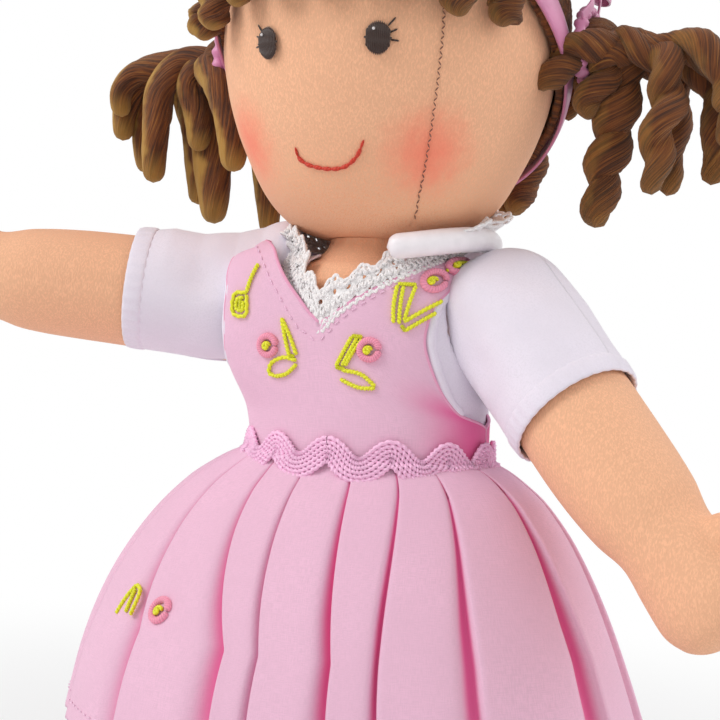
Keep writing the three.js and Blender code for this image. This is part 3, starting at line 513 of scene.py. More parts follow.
def move_corners(piece, points):
    piece.data.vertices.foreach_set("co", np.ascontiguousarray(points, float).ravel())
    piece.data.update()


def in_frame(points):
    return np.asarray(points, float) * MM + (AXIS_X, 0, 0)


def paint(piece, name, values):
    layer = piece.data.attributes.new(name, "FLOAT", "POINT")
    layer.data.foreach_set("value", np.asarray(values, np.float32))


def unwrap(piece, across, along):
    """Gives every face corner the pattern place of its point."""
    mesh = piece.data
    ends = np.empty(len(mesh.loops), int)
    mesh.loops.foreach_get("vertex_index", ends)
    layer = mesh.uv_layers.active or mesh.uv_layers.new(name="UVMap")
    layer.data.foreach_set("uv", np.stack([across[ends], along[ends]], 1).ravel())


def face_out(piece, middle=None):
    """Merges doubles and turns the faces outwards, those of a sheet away from middle."""
    pick(piece)
    mode("EDIT")
    bpy.ops.mesh.select_all(action="SELECT")
    bpy.ops.mesh.remove_doubles(threshold=0.02 * MM)
    bpy.ops.mesh.normals_make_consistent(inside=False)
    mode("OBJECT")
    if middle is not None:
        count = len(piece.data.polygons)
        centres, normals = np.empty(count * 3), np.empty(count * 3)
        piece.data.polygons.foreach_get("center", centres)
        piece.data.polygons.foreach_get("normal", normals)
        away = centres.reshape(-1, 3) - in_frame(middle)
        if (away * normals.reshape(-1, 3)).sum() < 0:
            mode("EDIT")
            bpy.ops.mesh.select_all(action="SELECT")
            bpy.ops.mesh.flip_normals()
            mode("OBJECT")
    return piece


def shaped_grid(name, columns, rows, shape, pattern=(1, 1), middle=None, marks=None):
    """A grid laid onto a surface: shape gives a point for each way across and way along it.

    Pattern is how many units of its material's pattern lie across and along it.
    """
    deselect()
    bpy.ops.mesh.primitive_grid_add(x_subdivisions=columns, y_subdivisions=rows, size=1)
    piece = bpy.context.object
    piece.name = piece.data.name = name
    across, along = (corners(piece)[:, :2] + 0.5).T
    move_corners(piece, in_frame(shape(across, along)))
    unwrap(piece, across * pattern[0], along * pattern[1])
    for mark, values in (marks or {}).items():
        paint(piece, mark, values(across, along))
    return face_out(piece, middle)


def cut_faces(piece, gone):
    """Deletes the marked faces."""
    pick(piece)
    mode("EDIT")
    bpy.ops.mesh.select_all(action="DESELECT")
    mode("OBJECT")
    piece.data.polygons.foreach_set("select", gone)
    mode("EDIT")
    bpy.ops.mesh.delete(type="ONLY_FACE")
    mode("OBJECT")


def change(piece, kind, **settings):
    """Adds a modifier, sets it and applies it."""
    pick(piece)
    modifier = piece.modifiers.new(kind.title(), kind)
    for setting, value in settings.items():
        setattr(modifier, setting, value)
    bpy.ops.object.modifier_apply(modifier=modifier.name)
    return piece


def thicken(piece, thickness, levels=0):
    change(piece, "SOLIDIFY", thickness=thickness * MM, offset=0, use_even_offset=False)
    if levels:
        change(piece, "SUBSURF", levels=levels, render_levels=levels)
    return piece


def join(name, pieces):
    piece = pick(*pieces)
    if len(pieces) > 1:
        bpy.ops.object.join()
    piece.name = piece.data.name = name
    return piece


def carried(line):
    """Two directions across a line at each of its points, turning as little as they can."""
    ahead = unit(np.gradient(line, axis=0))
    first = np.cross(ahead[0], (0.3, 0.2, 0.93))
    if np.linalg.norm(first) < 0.1:
        first = np.cross(ahead[0], (1, 0, 0))
    sides = []
    for direction in ahead:
        first = first - direction * (first @ direction)
        first = first / np.linalg.norm(first)
        sides.append(first)
    side = np.array(sides)
    return side, np.cross(ahead, side)


def tubes(name, lines, radius, sides=8, steps=12, twist=0, marks=False):
    """Round-ended tubes along lines, in one mesh. Radius may depend on the tube, way along and way round."""
    count = len(lines)
    deselect()
    bpy.ops.mesh.primitive_grid_add(x_subdivisions=sides, y_subdivisions=count * (steps + 1) - 1, size=1)
    piece = bpy.context.object
    piece.name = piece.data.name = name
    spot = corners(piece)[:, :2] + 0.5
    round_it = spot[:, 0]
    row = np.rint(spot[:, 1] * (count * (steps + 1) - 1)).astype(int)
    tube, step = np.divmod(row, steps + 1)
    points, lit_facing = np.zeros((len(spot), 3)), np.zeros(len(spot))
    for k, line in enumerate(lines):
        fine = smooth_path(line, steps + 1)
        side, up = carried(fine)
        mine = tube == k
        along, turn = step[mine] / steps, round_it[mine] * TAU
        length = np.linalg.norm(np.diff(fine, axis=0), axis=1).sum()
        wide = radius(k, along, turn) if callable(radius) else np.full(along.shape, float(radius))
        near = np.minimum(along, 1 - along) * length / np.maximum(wide, 1e-6)
        wide = wide * np.sqrt(np.clip(1 - (1 - np.minimum(near, 1)) ** 2, 0, 1))
        facing = side[step[mine]] * np.cos(turn)[:, None] + up[step[mine]] * np.sin(turn)[:, None]
        # How far each point faces the side with the painted highlight
        lit_facing[mine] = facing @ LIGHT_SIDE
        points[mine] = (fine[step[mine]] + side[step[mine]] * (wide * np.cos(turn))[:, None]
                        + up[step[mine]] * (wide * np.sin(turn))[:, None])
    move_corners(piece, in_frame(points))
    share = step / steps
    unwrap(piece, round_it - twist * share, share + 2 * tube)
    if marks:
        paint(piece, "tip", share)
        paint(piece, "sun", lit_facing)
    # The faces that link one tube to the next go
    ends = np.empty(len(piece.data.loops), int)
    piece.data.loops.foreach_get("vertex_index", ends)
    cut_faces(piece, np.ptp(tube[ends].reshape(-1, 4), axis=1) > 0)
    return face_out(piece)


def finish_piece(piece, material, body, slot, *nodes):
    """Gives a piece its finish, smooth shading and body, and hides the frame nodes that it stands for."""
    piece.data.materials.clear()
    piece.data.materials.append(finish_of(material))
    pick(piece)
    bpy.ops.object.shade_smooth()
    if isinstance(body, str):
        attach(piece, body)
    else:
        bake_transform(piece)
    if nodes:
        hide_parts(*nodes)
    return piece


def sewn(name, lines, radius, thread, body, slot, *nodes, sides=5, steps=3):
    """Stitches or loops of one thread along lines."""
    return finish_piece(tubes(name, lines, radius, sides=sides, steps=steps), thread, body, slot, *nodes)


def keep_edges(piece):
    """Shades a piece smooth, but for its sharp edges."""
    pick(piece)
    bpy.ops.object.shade_smooth_by_angle(angle=math.radians(40))


def node_middle(node):
    """Middle of a frame node, in millimetres about the doll's middle line."""
    low, high = (np.array(corner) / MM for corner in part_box(node))
    return (low + high) / 2 - (AXIS_X / MM, 0, 0)


def colours():
    return bpy.context.scene.doll_colours


def sizes():
    return bpy.context.scene.doll_sizes


def length(name):
    return getattr(sizes(), name) / MM


# Materials

class Finish:
    """A material while its nodes are being joined up."""

    def __init__(self, name, roughness, **settings):
        self.material = bpy.data.materials.new(name)
        self.material.use_nodes = True
        self.tree = self.material.node_tree
        self.shader = self.tree.nodes["Principled BSDF"]
        self.set(self.shader, Roughness=roughness, **settings)
        places = self.tree.nodes.new("ShaderNodeTexCoord").outputs
        self.place, self.cloth = places["Object"], places["UV"]

    def set(self, node, **inputs):
        for name, value in inputs.items():
            socket = node.inputs[name.replace("_", " ")]
            if isinstance(value, bpy.types.NodeSocket):
                self.tree.links.new(value, socket)
            elif socket.type == "RGBA" and len(value) == 3:
                socket.default_value = (*value, 1)
            else:
                socket.default_value = value
        return node

    def add(self, kind, inputs=None, **settings):
        node = self.tree.nodes.new("ShaderNode" + kind)
        for name, value in settings.items():
            setattr(node, name, value)
        return self.set(node, **(inputs or {}))

    def math(self, operation, first, second=0.0, clamp=False):
        node = self.add("Math", operation=operation, use_clamp=clamp)
        for socket, value in zip(node.inputs, (first, second)):
            if isinstance(value, bpy.types.NodeSocket):
                self.tree.links.new(value, socket)
            else:
                socket.default_value = value
        return node.outputs[0]

    def times(self, first, second):
        return self.math("MULTIPLY", first, second)

    def plus(self, first, second):
        return self.math("ADD", first, second)

    def parts(self, vector):
        return self.add("SeparateXYZ", {"Vector": vector}).outputs

    def mottled(self, value, low, high, colour, factor):
        """Colour where value is high, and a shade of it by that factor where value is low."""
        return self.mix(self.between(value, low, high), shade(colour, factor), colour)

    def noise(self, vector, scale, detail=2.0, roughness=0.5):
        inputs = {"Vector": vector, "Scale": scale, "Detail": detail, "Roughness": roughness}
        return self.add("TexNoise", inputs).outputs["Fac"]

    def streaks(self, vector, scale, detail, roughness=0.5):
        """Noise drawn out along one axis or another."""
        scaled = self.add("Mapping", {"Vector": vector, "Scale": scale}).outputs[0]
        return self.noise(scaled, 1.0, detail, roughness)

    def mix(self, share, first, second):
        node = self.add("Mix", data_type="RGBA")
        for socket, value in ((node.inputs[0], share), (node.inputs[6], first), (node.inputs[7], second)):
            if isinstance(value, bpy.types.NodeSocket):
                self.tree.links.new(value, socket)
            elif socket.type == "RGBA":
                socket.default_value = (*value, 1)
            else:
                socket.default_value = value
        return node.outputs[2]

    def between(self, value, low, high):
        """0 below low, 1 above high, soft between them."""
        inputs = {"Value": value, "From_Min": low, "From_Max": high}
        return self.add("MapRange", inputs, interpolation_type="SMOOTHSTEP").outputs[0]

    def mark(self, name):
        return self.add("Attribute", attribute_name=name).outputs["Fac"]

    def bump(self, height, depth, strength=1.0, under=None):
        node = self.add("Bump", {"Height": height, "Distance": depth * MM, "Strength": strength})
        if under:
            self.tree.links.new(under, node.inputs["Normal"])
        return node.outputs[0]

    def done(self, colour, normal=None):
        self.set(self.shader, Base_Color=colour)
        if normal:
            self.set(self.shader, Normal=normal)
        return self.material


def shade(colour, factor):
    return tuple(min(1, c * factor) for c in colour)


def weave(finish, place, pitch):
    """Height of a plain weave: threads across and along, of that pitch, a little uneven."""
    across = finish.streaks(place, (0.16 / pitch, 2.2 / pitch, 1 / pitch), 2)
    along = finish.streaks(place, (2.2 / pitch, 0.16 / pitch, 1 / pitch), 2)
    return finish.plus(across, along)


def knit_skin():
    """Fine knit: peach, with painted shade darkening it at the chin and neck in heathered flecks, and rubbed
    blush on the cheeks.
    """
    f = Finish("Knitted skin", 0.86, Sheen_Weight=0.12, Sheen_Roughness=0.6)
    c = colours()
    f.set(f.shader, Sheen_Tint=(1.0, 0.86, 0.76))
    grain = f.streaks(f.place, (3200, 3200, 1300), 3, 0.6)
    ribs = f.streaks(f.place, (2600, 2600, 900), 2)
    apart = f.parts(f.place)
    # Painted shade: the skin is painted darker from the neck up to the lower face, most at the chin, in
    # heathered flecks
    low = f.math("SUBTRACT", 1.0, f.between(apart["Z"], 0.1825, 0.206), clamp=True)
    chin_shade_share = f.times(low, f.between(apart["Z"], 0.1765, 0.1832))
    chin_shade_share = f.times(chin_shade_share, f.between(grain, 0.36, 0.62))
    colour = f.mix(f.times(chin_shade_share, 0.8), c.skin, c.chin)
    flecks = f.between(f.times(ribs, grain), 0.2, 0.36)
    colour = f.mix(flecks, shade(c.skin, 0.87), colour)
    for longitude, z in CHEEKS:
        spot = in_frame(on_head(np.array([longitude]), np.array([z]), 0))[0]
        away = f.add("VectorMath", operation="DISTANCE")
        f.tree.links.new(f.place, away.inputs[0])
        away.inputs[1].default_value = spot
        ragged = f.plus(away.outputs["Value"], f.times(f.noise(f.place, 380, 3), 0.006))
        rubbed = f.math("SUBTRACT", 1.0, f.between(ragged, 0.003, 0.0175), clamp=True)
        colour = f.mix(f.times(rubbed, 0.78), colour, c.blush)
    height = f.plus(grain, f.times(ribs, 0.9))
    return f.done(colour, f.bump(height, 0.28, 0.5))


def poplin():
    """Fine plain weave, painted deeper pink where the fold mark says, as painted shade and light through the
    cloth in the pleats and other shaded places.
    """
    f = Finish("Pink poplin", 0.78, Sheen_Weight=0.18, Sheen_Roughness=0.5)
    c = colours()
    f.set(f.shader, Sheen_Tint=(1.0, 0.93, 0.97))
    threads = weave(f, f.cloth, 0.3)
    soft = f.noise(f.place, 60, 2)
    colour = f.mottled(soft, 0.35, 0.7, c.poplin, 0.95)
    colour = f.mix(f.between(threads, 0.82, 1.16), shade(c.poplin, 0.9), colour)
    # Painted shade: the fold mark mixes in the deep pink
    colour = f.mix(f.between(f.mark("fold"), 0.16, 0.9), colour, c.fold)
    return f.done(colour, f.bump(threads, 0.1, 0.45))


def jersey(name="White jersey", cloth="jersey"):
    """Soft brushed jersey with fine columns of knit."""
    f = Finish(name, 0.9, Sheen_Weight=0.35, Sheen_Roughness=0.55)
    colour = getattr(colours(), cloth)
    columns = f.streaks(f.cloth, (3.4, 0.7, 1), 2)
    fuzz = f.streaks(f.place, (2400, 2400, 2400), 3, 0.65)
    soft = f.noise(f.place, 70, 2)
    mixed = f.mottled(soft, 0.3, 0.7, colour, 0.95)
    mixed = f.mix(f.between(fuzz, 0.3, 0.6), shade(colour, 0.93), mixed)
    return f.done(mixed, f.bump(f.plus(columns, fuzz), 0.16, 0.4))


def twisted_thread(name, colour, pitch=10.0, roughness=0.6, sheen=0.3, groove_shade=0.78):
    """Two-ply thread: slanting plies with painted shade in the groove between them."""
    f = Finish(name, roughness, Sheen_Weight=sheen, Sheen_Roughness=0.4)
    apart = f.parts(f.cloth)
    slant = f.plus(f.times(apart["X"], 2.0), f.times(apart["Y"], pitch))
    ply = f.math("ABSOLUTE", f.math("SINE", f.times(slant, math.pi)))
    fibres = f.streaks(f.place, (3000, 3000, 3000), 2)
    # Painted shade: darker in the groove between the plies
    mixed = f.mix(f.between(ply, 0.05, 0.6), shade(colour, groove_shade), colour)
    mixed = f.mix(f.times(fibres, 0.35), mixed, shade(colour, 1.25))
    return f.done(mixed, f.bump(ply, 0.16, 0.7))


def lace_thread():
    """Matt cotton thread, plied and a little fluffy."""
    f = Finish("Cotton lace", 0.88, Sheen_Weight=0.3, Sheen_Roughness=0.5)
    colour = colours().lace
    plies = f.add("TexVoronoi", {"Vector": f.place, "Scale": 1500.0})
    fibres = f.noise(f.place, 2600, 3)
    mixed = f.mix(f.between(plies.outputs["Distance"], 0.15, 0.75), colour, shade(colour, 0.9))
    return f.done(mixed, f.bump(f.math("SUBTRACT", fibres, plies.outputs["Distance"]), 0.3, 0.7))


def satin():
    """Glossy satin, woven with long threads round the roll."""
    f = Finish("Satin roll", 0.3, Sheen_Weight=0.1, Coat_Weight=0.25, Coat_Roughness=0.25)
    colour = colours().satin
    threads = f.streaks(f.cloth, (6, 900, 1), 2)
    creases = f.streaks(f.cloth, (2, 26, 1), 2)
    # Painted shade: the satin is painted a little darker in the troughs of its creases
    mixed = f.mottled(creases, 0.3, 0.7, colour, 0.93)
    return f.done(mixed, f.bump(f.plus(threads, f.times(creases, 3.0)), 0.2, 0.4))


def ribbon():
    """Satin ribbon with fine ribs across it."""
    f = Finish("Satin ribbon", 0.42, Sheen_Weight=0.2, Coat_Weight=0.15, Coat_Roughness=0.35)
    colour = colours().ribbon
    ribs = f.streaks(f.place, (900, 900, 2600), 2)
    soft = f.noise(f.place, 160, 2)
    mixed = f.mix(f.between(soft, 0.3, 0.7), shade(colour, 0.86), shade(colour, 1.08))
    return f.done(mixed, f.bump(ribs, 0.12, 0.5))


def yarn():
    """Soft spun yarn: strands that wind with the ringlet, with painted shade in the hollows, lighter at the
    tip and a painted highlight on the side facing the key lamp.
    """
    f = Finish("Hair yarn", 0.84, Sheen_Weight=0.14, Sheen_Roughness=0.45)
    c = colours()
    f.set(f.shader, Sheen_Tint=(1.0, 0.82, 0.6))
    apart = f.parts(f.cloth)
    turn = f.times(apart["X"], 2 * math.pi)
    ring = f.add("CombineXYZ", {
        "X": f.times(f.math("COSINE", turn), 3.4),
        "Y": f.times(f.math("SINE", turn), 3.4),
        "Z": f.times(apart["Y"], 2.2)})
    strands = f.noise(ring.outputs[0], 2.2, 4, 0.62)
    patches = f.noise(f.place, 130, 2)
    # Painted shade: dark yarn where the strands are low, in the hollows between them
    colour = f.mix(f.between(strands, 0.34, 0.64), c.hair_hollow_shade, c.hair)
    # Painted highlight: the ringlets are lightened on the side facing the key lamp, in patches, and at their
    # tips
    lightened = f.plus(f.mark("sun"), f.times(f.plus(patches, -0.5), 1.6))
    lightened = f.math("MAXIMUM", f.between(lightened, 0.4, 0.95), f.between(f.mark("tip"), 0.8, 1.05))
    # The painted highlight and the lighter tips are weakest on the ringlets at the doll's left
    beside = f.parts(f.place)["X"]
    kept = f.math("SUBTRACT", 0.85, f.times(f.between(beside, AXIS_X, AXIS_X + 0.04), 0.6))
    colour = f.mix(f.times(lightened, kept), colour, c.hair_tip_and_highlight)
    colour = f.mix(f.times(f.between(strands, 0.56, 0.76), 0.45), colour, c.hair_tip_and_highlight)
    return f.done(colour, f.bump(strands, 0.6, 0.8))


def felt(name, colour):
    """Pressed felt with loose fibres."""
    f = Finish(name, 0.92, Sheen_Weight=0.4, Sheen_Roughness=0.5)
    fibres = f.streaks(f.place, (900, 900, 900), 5, 0.7)
    soft = f.noise(f.place, 120, 2)
    mixed = f.mottled(soft, 0.3, 0.7, colour, 0.88)
    mixed = f.mix(f.between(fibres, 0.3, 0.6), shade(colour, 0.8), mixed)
    return f.done(mixed, f.bump(fibres, 0.3, 0.6))


def pearl():
    """Pearly plastic button, cloudy and glossy."""
    f = Finish("Pearl button", 0.22, Coat_Weight=0.5, Coat_Roughness=0.1)
    colour = colours().button
    cloud = f.noise(f.place, 420, 3)
    mixed = f.mottled(cloud, 0.3, 0.7, colour, 0.86)
    return f.done(mixed, f.bump(cloud, 0.05, 0.3))


MATERIALS = {}


def finish_of(name):
    """The named material, made once."""
    if name not in MATERIALS:
        c = colours()
        makers = {
            "skin": knit_skin, "poplin": poplin, "jersey": jersey,
            "cotton": lambda: jersey("White cotton", "cotton"),
            "braid": lambda: twisted_thread("Wavy braid", c.braid, 90.0, groove_shade=1.0),
            "lace": lace_thread, "satin": satin, "ribbon": ribbon, "yarn": yarn,
            "leaf": lambda: twisted_thread("Leaf thread", c.leaf, 7.0, 0.5),
            "petal": lambda: twisted_thread("Petal thread", c.petal, 26.0, 0.6),
            "smile": lambda: twisted_thread("Smile thread", c.smile, 3.0, 0.6),
            "eye": lambda: twisted_thread("Eye thread", c.eye, 3.0, 0.45),
            "glint": lambda: twisted_thread("Glint thread", c.lace, 3.0, 0.5),
            "topstitch": lambda: twisted_thread("Topstitch thread", shade(c.poplin, 1.2), 3.0, groove_shade=0.95),
            "seam": lambda: twisted_thread("Seam thread", (0.2, 0.07, 0.04), 3.0),
            "felt": lambda: felt("Shoe felt", c.felt), "sole": lambda: felt("Shoe sole", c.sole),
            "button": pearl,
        }
        MATERIALS[name] = makers[name]()
    return MATERIALS[name]


# Stuffed body

def stitches_along(line, stitch, gap):
    """Short straight stitches along a line."""
    run = np.linalg.norm(np.diff(line, axis=0), axis=1).sum()
    count = max(2, int(run / (stitch + gap)))
    fine = smooth_path(line, count * 10 + 1)
    step = 10 * stitch / (stitch + gap)
    return [fine[k * 10: int(k * 10 + step) + 1] for k in range(count)]


def make_torso():
    def shape(across, along):
        z = TORSO_BOTTOM + (TORSO_TOP - TORSO_BOTTOM) * np.clip((along - 0.04) / 0.92, 0, 1)
        points = on_torso(across * 360, z, 0)
        points[:, :2] *= closing(along, 0.04)[:, None]
        return clear_of_legs(clear_of_arms(points, ARM_BALL + 0.3), LEG_BALL + 0.3)
    body = shaped_grid("body_cloth", 96, 72, shape)
    finish_piece(body, "skin", "torso", "skin_knit", "torso_body")

    def neck_shape(across, along):
        turn = across * TAU
        radius = NECK_RADIUS - 0.3 * np.abs(np.sin(turn * 9)) * along
        wide, deep = ((radius + out * (1 - along) ** 2.2) * closing(along, 0.02) for out in NECK_FLARE)
        z = TORSO_TOP - 1.9 + (NECK_LENGTH + 2.7) * np.clip((along - 0.02) / 0.96, 0, 1)
        return xyz(wide * np.sin(turn), -deep * np.cos(turn), z)
    neck = shaped_grid("neck_cloth", 96, 50, neck_shape)
    finish_piece(neck, "skin", "torso", "skin_knit", "neck")


def seam_longitude(z):
    return between_rows(CHEEK_SEAM, z)


def make_head():
    def shape(across, along):
        longitude = across * 360 - 180
        polar = along * np.pi
        z = CHIN_HEIGHT + HEAD_HEIGHT * (1 - np.cos(polar)) / 2
        points = on_head(longitude, z, 0)
        points[:, :2] *= closing(along, 0.03)[:, None]
        off = (longitude - seam_longitude(z)) * np.radians(1) * head_ring(z, 0)
        groove = 0.35 * np.exp(-(off / 0.7) ** 2) * (z > 184) * (z < 236)
        dimple = 0.3 * ripple(5, 6, points[:, 0] / 7, points[:, 1] / 7, points[:, 2] / 7)
        outward = unit(points - HEAD_MIDDLE)
        return points + outward * (dimple * closing(along, 0.03) - groove)[:, None]
    head = shaped_grid("head_cloth", 200, 120, shape)
    finish_piece(head, "skin", "head", "skin_knit", "head_body")

    # Machine seam down the left cheek: small stitches, each across the seam by turns
    heights = np.arange(185.5, 233, 1.05)
    seam = []
    for k, z in enumerate(heights):
        way = 0.62 if k % 2 else -0.62
        spread = np.array([seam_longitude(z) - way, seam_longitude(z + 1) + way])
        seam.append(on_head(spread, np.array([z, z + 1.0]), 0.12))
    sewn("cheek_seam", seam, 0.15, "seam", "head", "smile_thread")


def make_face():
    line = smooth_path([on_face(np.float64(x), z, 0.35) for x, z in SMILE], 91)
    stitches = [line[max(0, k - 1): k + 11] for k in range(0, 86, 9)]

    def plump(k, along, turn):
        end = 0.62 if k in (0, len(stitches) - 1) else 1
        return 0.52 * end * (0.4 + 0.6 * np.sin(np.pi * np.clip(along, 0.05, 0.95)))
    sewn("smile_embroidery", stitches, plump, "smile", "head", "smile_thread", "smile_stitch", sides=8,
         steps=9)

    for name, side in SIDES:
        middle_z, turn = CHIN_HEIGHT + EYE_HEIGHT, side * EYE_TURN
        half_wide, half_tall = EYE_WIDTH / 2, EYE_TALL / 2
        rows = []
        for k in range(15):
            x = (k / 14 - 0.5) * 2
            tall = half_tall * math.sqrt(max(0, 1 - x * x)) + 0.25
            heights = np.linspace(-tall, tall, 5)
            lift = 0.35 + 0.75 * np.sqrt(np.clip(1 - (heights / (half_tall + 0.4)) ** 2 - 0.6 * x * x, 0, 1))
            longitude = turn + np.degrees(x * half_wide / 40) + 0 * heights
            rows.append(np.stack([on_head(longitude[i: i + 1], middle_z + heights[i: i + 1], lift[i])[0]
                                  for i in range(5)]))
        satin_stitch = tubes(f"{name}_eye_stitches", rows, 0.3, sides=6, steps=10)
        lashes = []
        for k in range(3):
            start = (turn + side * (2.6 + 0.5 * k), middle_z + 2.4 - 1.3 * k)
            end = (start[0] + side * (2.6 + 0.2 * k), start[1] + 2.2 - 1.2 * k)
            lashes.append(on_head(np.linspace(start[0], end[0], 4), np.linspace(start[1], end[1], 4), 0.25))
        lash = tubes(f"{name}_lashes", lashes, 0.22, sides=5, steps=5)
        eye = join(f"{name}_eye_embroidery", [satin_stitch, lash])
        finish_piece(eye, "eye", "head", "eye_thread", f"{name}_eye")
        glints = [on_head(turn + np.array([-1.7, -0.9]), middle_z + np.array([1.5, 1.9]), 1.45)]
        sewn(f"{name}_eye_glint", glints, 0.34, "glint", "head", "eye_thread", sides=6, steps=5)


# Hair

def make_cap():
    top = CHIN_HEIGHT + HEAD_HEIGHT

    def shape(across, along):
        longitude = across * 360 - 180
        foot = hairline_height(longitude, 1.6, HAIR_LAYER)
        z = foot + (top + HAIR_LAYER - foot) * np.sin(np.clip(along / 0.98, 0, 1) * np.pi / 2)
        points = on_head(longitude, z, HAIR_LAYER)
        points[:, :2] *= np.clip((1 - along) / 0.02, 0, 1)[:, None]
        spread = np.arctan2(points[:, 2] - BUNCH_HEIGHT, points[:, 1] - BUNCH_BACK)
        away = np.hypot(points[:, 2] - BUNCH_HEIGHT, points[:, 1] - BUNCH_BACK)
        wander = 0.35 * ripple(8, 4, points[:, 0] / 6, spread * 3, points[:, 2] / 14)
        ridge = np.abs(np.sin(spread * 26 + wander)) ** 0.7 * np.clip(away / 8, 0, 1)
        parting = np.exp(-(points[:, 0] / 1.3) ** 2)
        height = length("yarn_ridge") * (ridge - 0.5) - 0.9 * parting + 0.3 * ripple(9, 5, *(points.T / 9))
        return points + unit(points - HEAD_MIDDLE) * height[:, None]
    cap = shaped_grid("hair_cap_yarn", 300, 110, shape, middle=HEAD_MIDDLE, pattern=(9, 3))
    thicken(cap, 1.6)
    finish_piece(cap, "yarn", "head", "hair_yarn", "hair_cap")

    def band_shape(across, along):
        longitude = across * 360 - 180
        z = hairline_height(longitude, 0.6 + 6.6 * along, BAND_LAYER)
        bulge = 0.5 * np.sin(np.pi * along)
        return on_head(longitude, z, BAND_LAYER - 0.35 + bulge)
    band = shaped_grid("hairband_ribbon", 220, 10, band_shape, middle=HEAD_MIDDLE, pattern=(240, 7))
    thicken(band, 0.7)
    finish_piece(band, "ribbon", "head", "satin_ribbon", "hairband")


def ringlets(name, lines, thickness, turns, depth, body, *nodes):
    """Ringlets along lines: each swells to its middle, thins at its tip and is grooved by its twist."""
    def radius(k, along, turn):
        form = 0.8 + 0.4 * along - 0.6 * along ** 4
        groove = 1 + depth * np.cos(2 * turn - 2 * TAU * turns * along + k)
        fine = 1 + 0.03 * np.cos(9 * turn - 2 * TAU * turns * 4.5 * along + 2 * k)
        return RINGLET_RADIUS * thickness[k] * form * groove * fine
    piece = tubes(name, lines, radius, sides=28, steps=60, twist=turns, marks=True)
    return finish_piece(piece, "yarn", body, "hair_yarn", *nodes)


def corkscrew(line, swing, turns, start):
    """Winds a line round itself, as a tightly curled ringlet does."""
    fine = smooth_path(line, 60)
    side, up = carried(fine)
    along = np.linspace(0, 1, 60)
    turn = TAU * turns * along + start
    reach = swing * np.sin(np.pi * along) ** 0.5
    return fine + side * (reach * np.cos(turn))[:, None] + up * (reach * np.sin(turn))[:, None]


def hung_lines(count, spread, facing, under, roots, drop, sway, seed):
    """Lines of a row of ringlets that lie on the head and hang from their roots."""
    random = np.random.default_rng(seed)
    lines = []
    for k in range(count):
        longitude = spread * (k / (count - 1) - 0.5)
        root = roots(longitude)
        fall = drop * random.uniform(0.92, 1.03) * (1 - 0.3 * abs(2 * longitude / spread) ** 5)
        z = root - fall * np.linspace(0, 1, 7)
        out = head_ring(z, under) + 0.3 + RINGLET_RADIUS
        wander = np.sin(np.linspace(0, 2.4 * np.pi, 7) + random.uniform(0, 6))
        bend = np.radians(longitude) + sway * wander / out
        lines.append(xyz(out * np.sin(bend), facing * out * np.cos(bend), z))
    return lines


def make_fringe_and_nape():
    def forehead(longitude):
        return float(hairline_height(np.array([longitude]), 0, 0)[0]) - 2.5
    lines = hung_lines(9, 110, -1, -0.4, forehead, 15, 0.5, 3)
    ringlets("fringe_ringlets", lines, [0.8] * 9, 1.1, 0.16, "head", "fringe_curls")

    def nape(longitude):
        return CHIN_HEIGHT + 36 - 6 * abs(longitude / 34) ** 6
    lines = hung_lines(9, 68, 1, BAND_LAYER, nape, 26, 0.5, 4)
    ringlets("nape_ringlets", lines, [0.84] * 9, 1.1, 0.1, "head", "back_curls")


def make_bunches():
    random = np.random.default_rng(11)
    for name, side in SIDES:
        pivot = np.array([side * BUNCH_OUT, BUNCH_BACK, BUNCH_HEIGHT])
        lines, thickness = [], []
        form = BUNCH_FORM[side]
        between = [tuple((np.array(a) + b) / 2 * (1, -1.3, 0.6, 0.86)) for a, b in zip(form, form[1:])]
        for out, back, drop, thick in form + between[::2]:
            points = [pivot + (side * (out * BUNCH_SPREAD * spread + BUNCH_KNOT * lean),
                               back * BUNCH_SPREAD * spread, -drop * BUNCH_DROP * fall)
                      for spread, fall, lean in BUNCH_PATH]
            sway = random.uniform(-0.8, 0.8, (len(points), 3))
            sway[0] = sway[-1] = 0
            line = np.array(points) + sway
            if side > 0:
                line = corkscrew(line, 1.2, 3.5 * drop + 1, 3 * out)
            lines.append(line)
            thickness.append(thick * (0.86 if side > 0 else 0.92))
        turns, depth = (1.6, 0.12) if side > 0 else (0.5, 0.07)
        ringlets(f"{name}_bunch_ringlets", lines, thickness, turns, depth, f"{name}_bunch",
                 f"{name}_hair_bunch")

        # Knot of yarn that the ringlets leave, and the ribbon wound round it
        def knot_shape(across, along):
            turn, polar = across * TAU, along * np.pi
            wound = 1 + 0.05 * np.abs(np.sin(turn * 9 + polar * 2))
            ball = xyz(-np.cos(polar) * 0.98, np.sin(polar) * np.cos(turn) * wound,
                       np.sin(polar) * np.sin(turn) * wound)
            return pivot + ball * BUNCH_KNOT
        knot = shaped_grid(f"{name}_bunch_knot", 72, 24, knot_shape, pattern=(6, 1))
        finish_piece(knot, "yarn", f"{name}_bunch", "hair_yarn")

        ring = pivot - (side * 2, 0, 0)

        def tie_shape(across, along):
            turn, round_it = across * TAU, along * TAU
            gathers = 1 + 0.22 * np.sin(turn * 17 + 0.6 * np.sin(turn * 3))
            out = BUNCH_KNOT + 1.6 + 1.15 * gathers * np.cos(round_it)
            wound = [1.5 * gathers * np.sin(round_it), out * np.cos(turn), out * np.sin(turn)]
            return ring + np.stack(wound, axis=-1)
        tie = shaped_grid(f"{name}_tie_ribbon", 170, 12, tie_shape, pattern=(40, 4))
        finish_piece(tie, "ribbon", "head", "satin_ribbon", f"{name}_hair_tie")
        make_bow(name, side, ring + (0, 0, BUNCH_KNOT + 1.35 + 2 + 4.8))


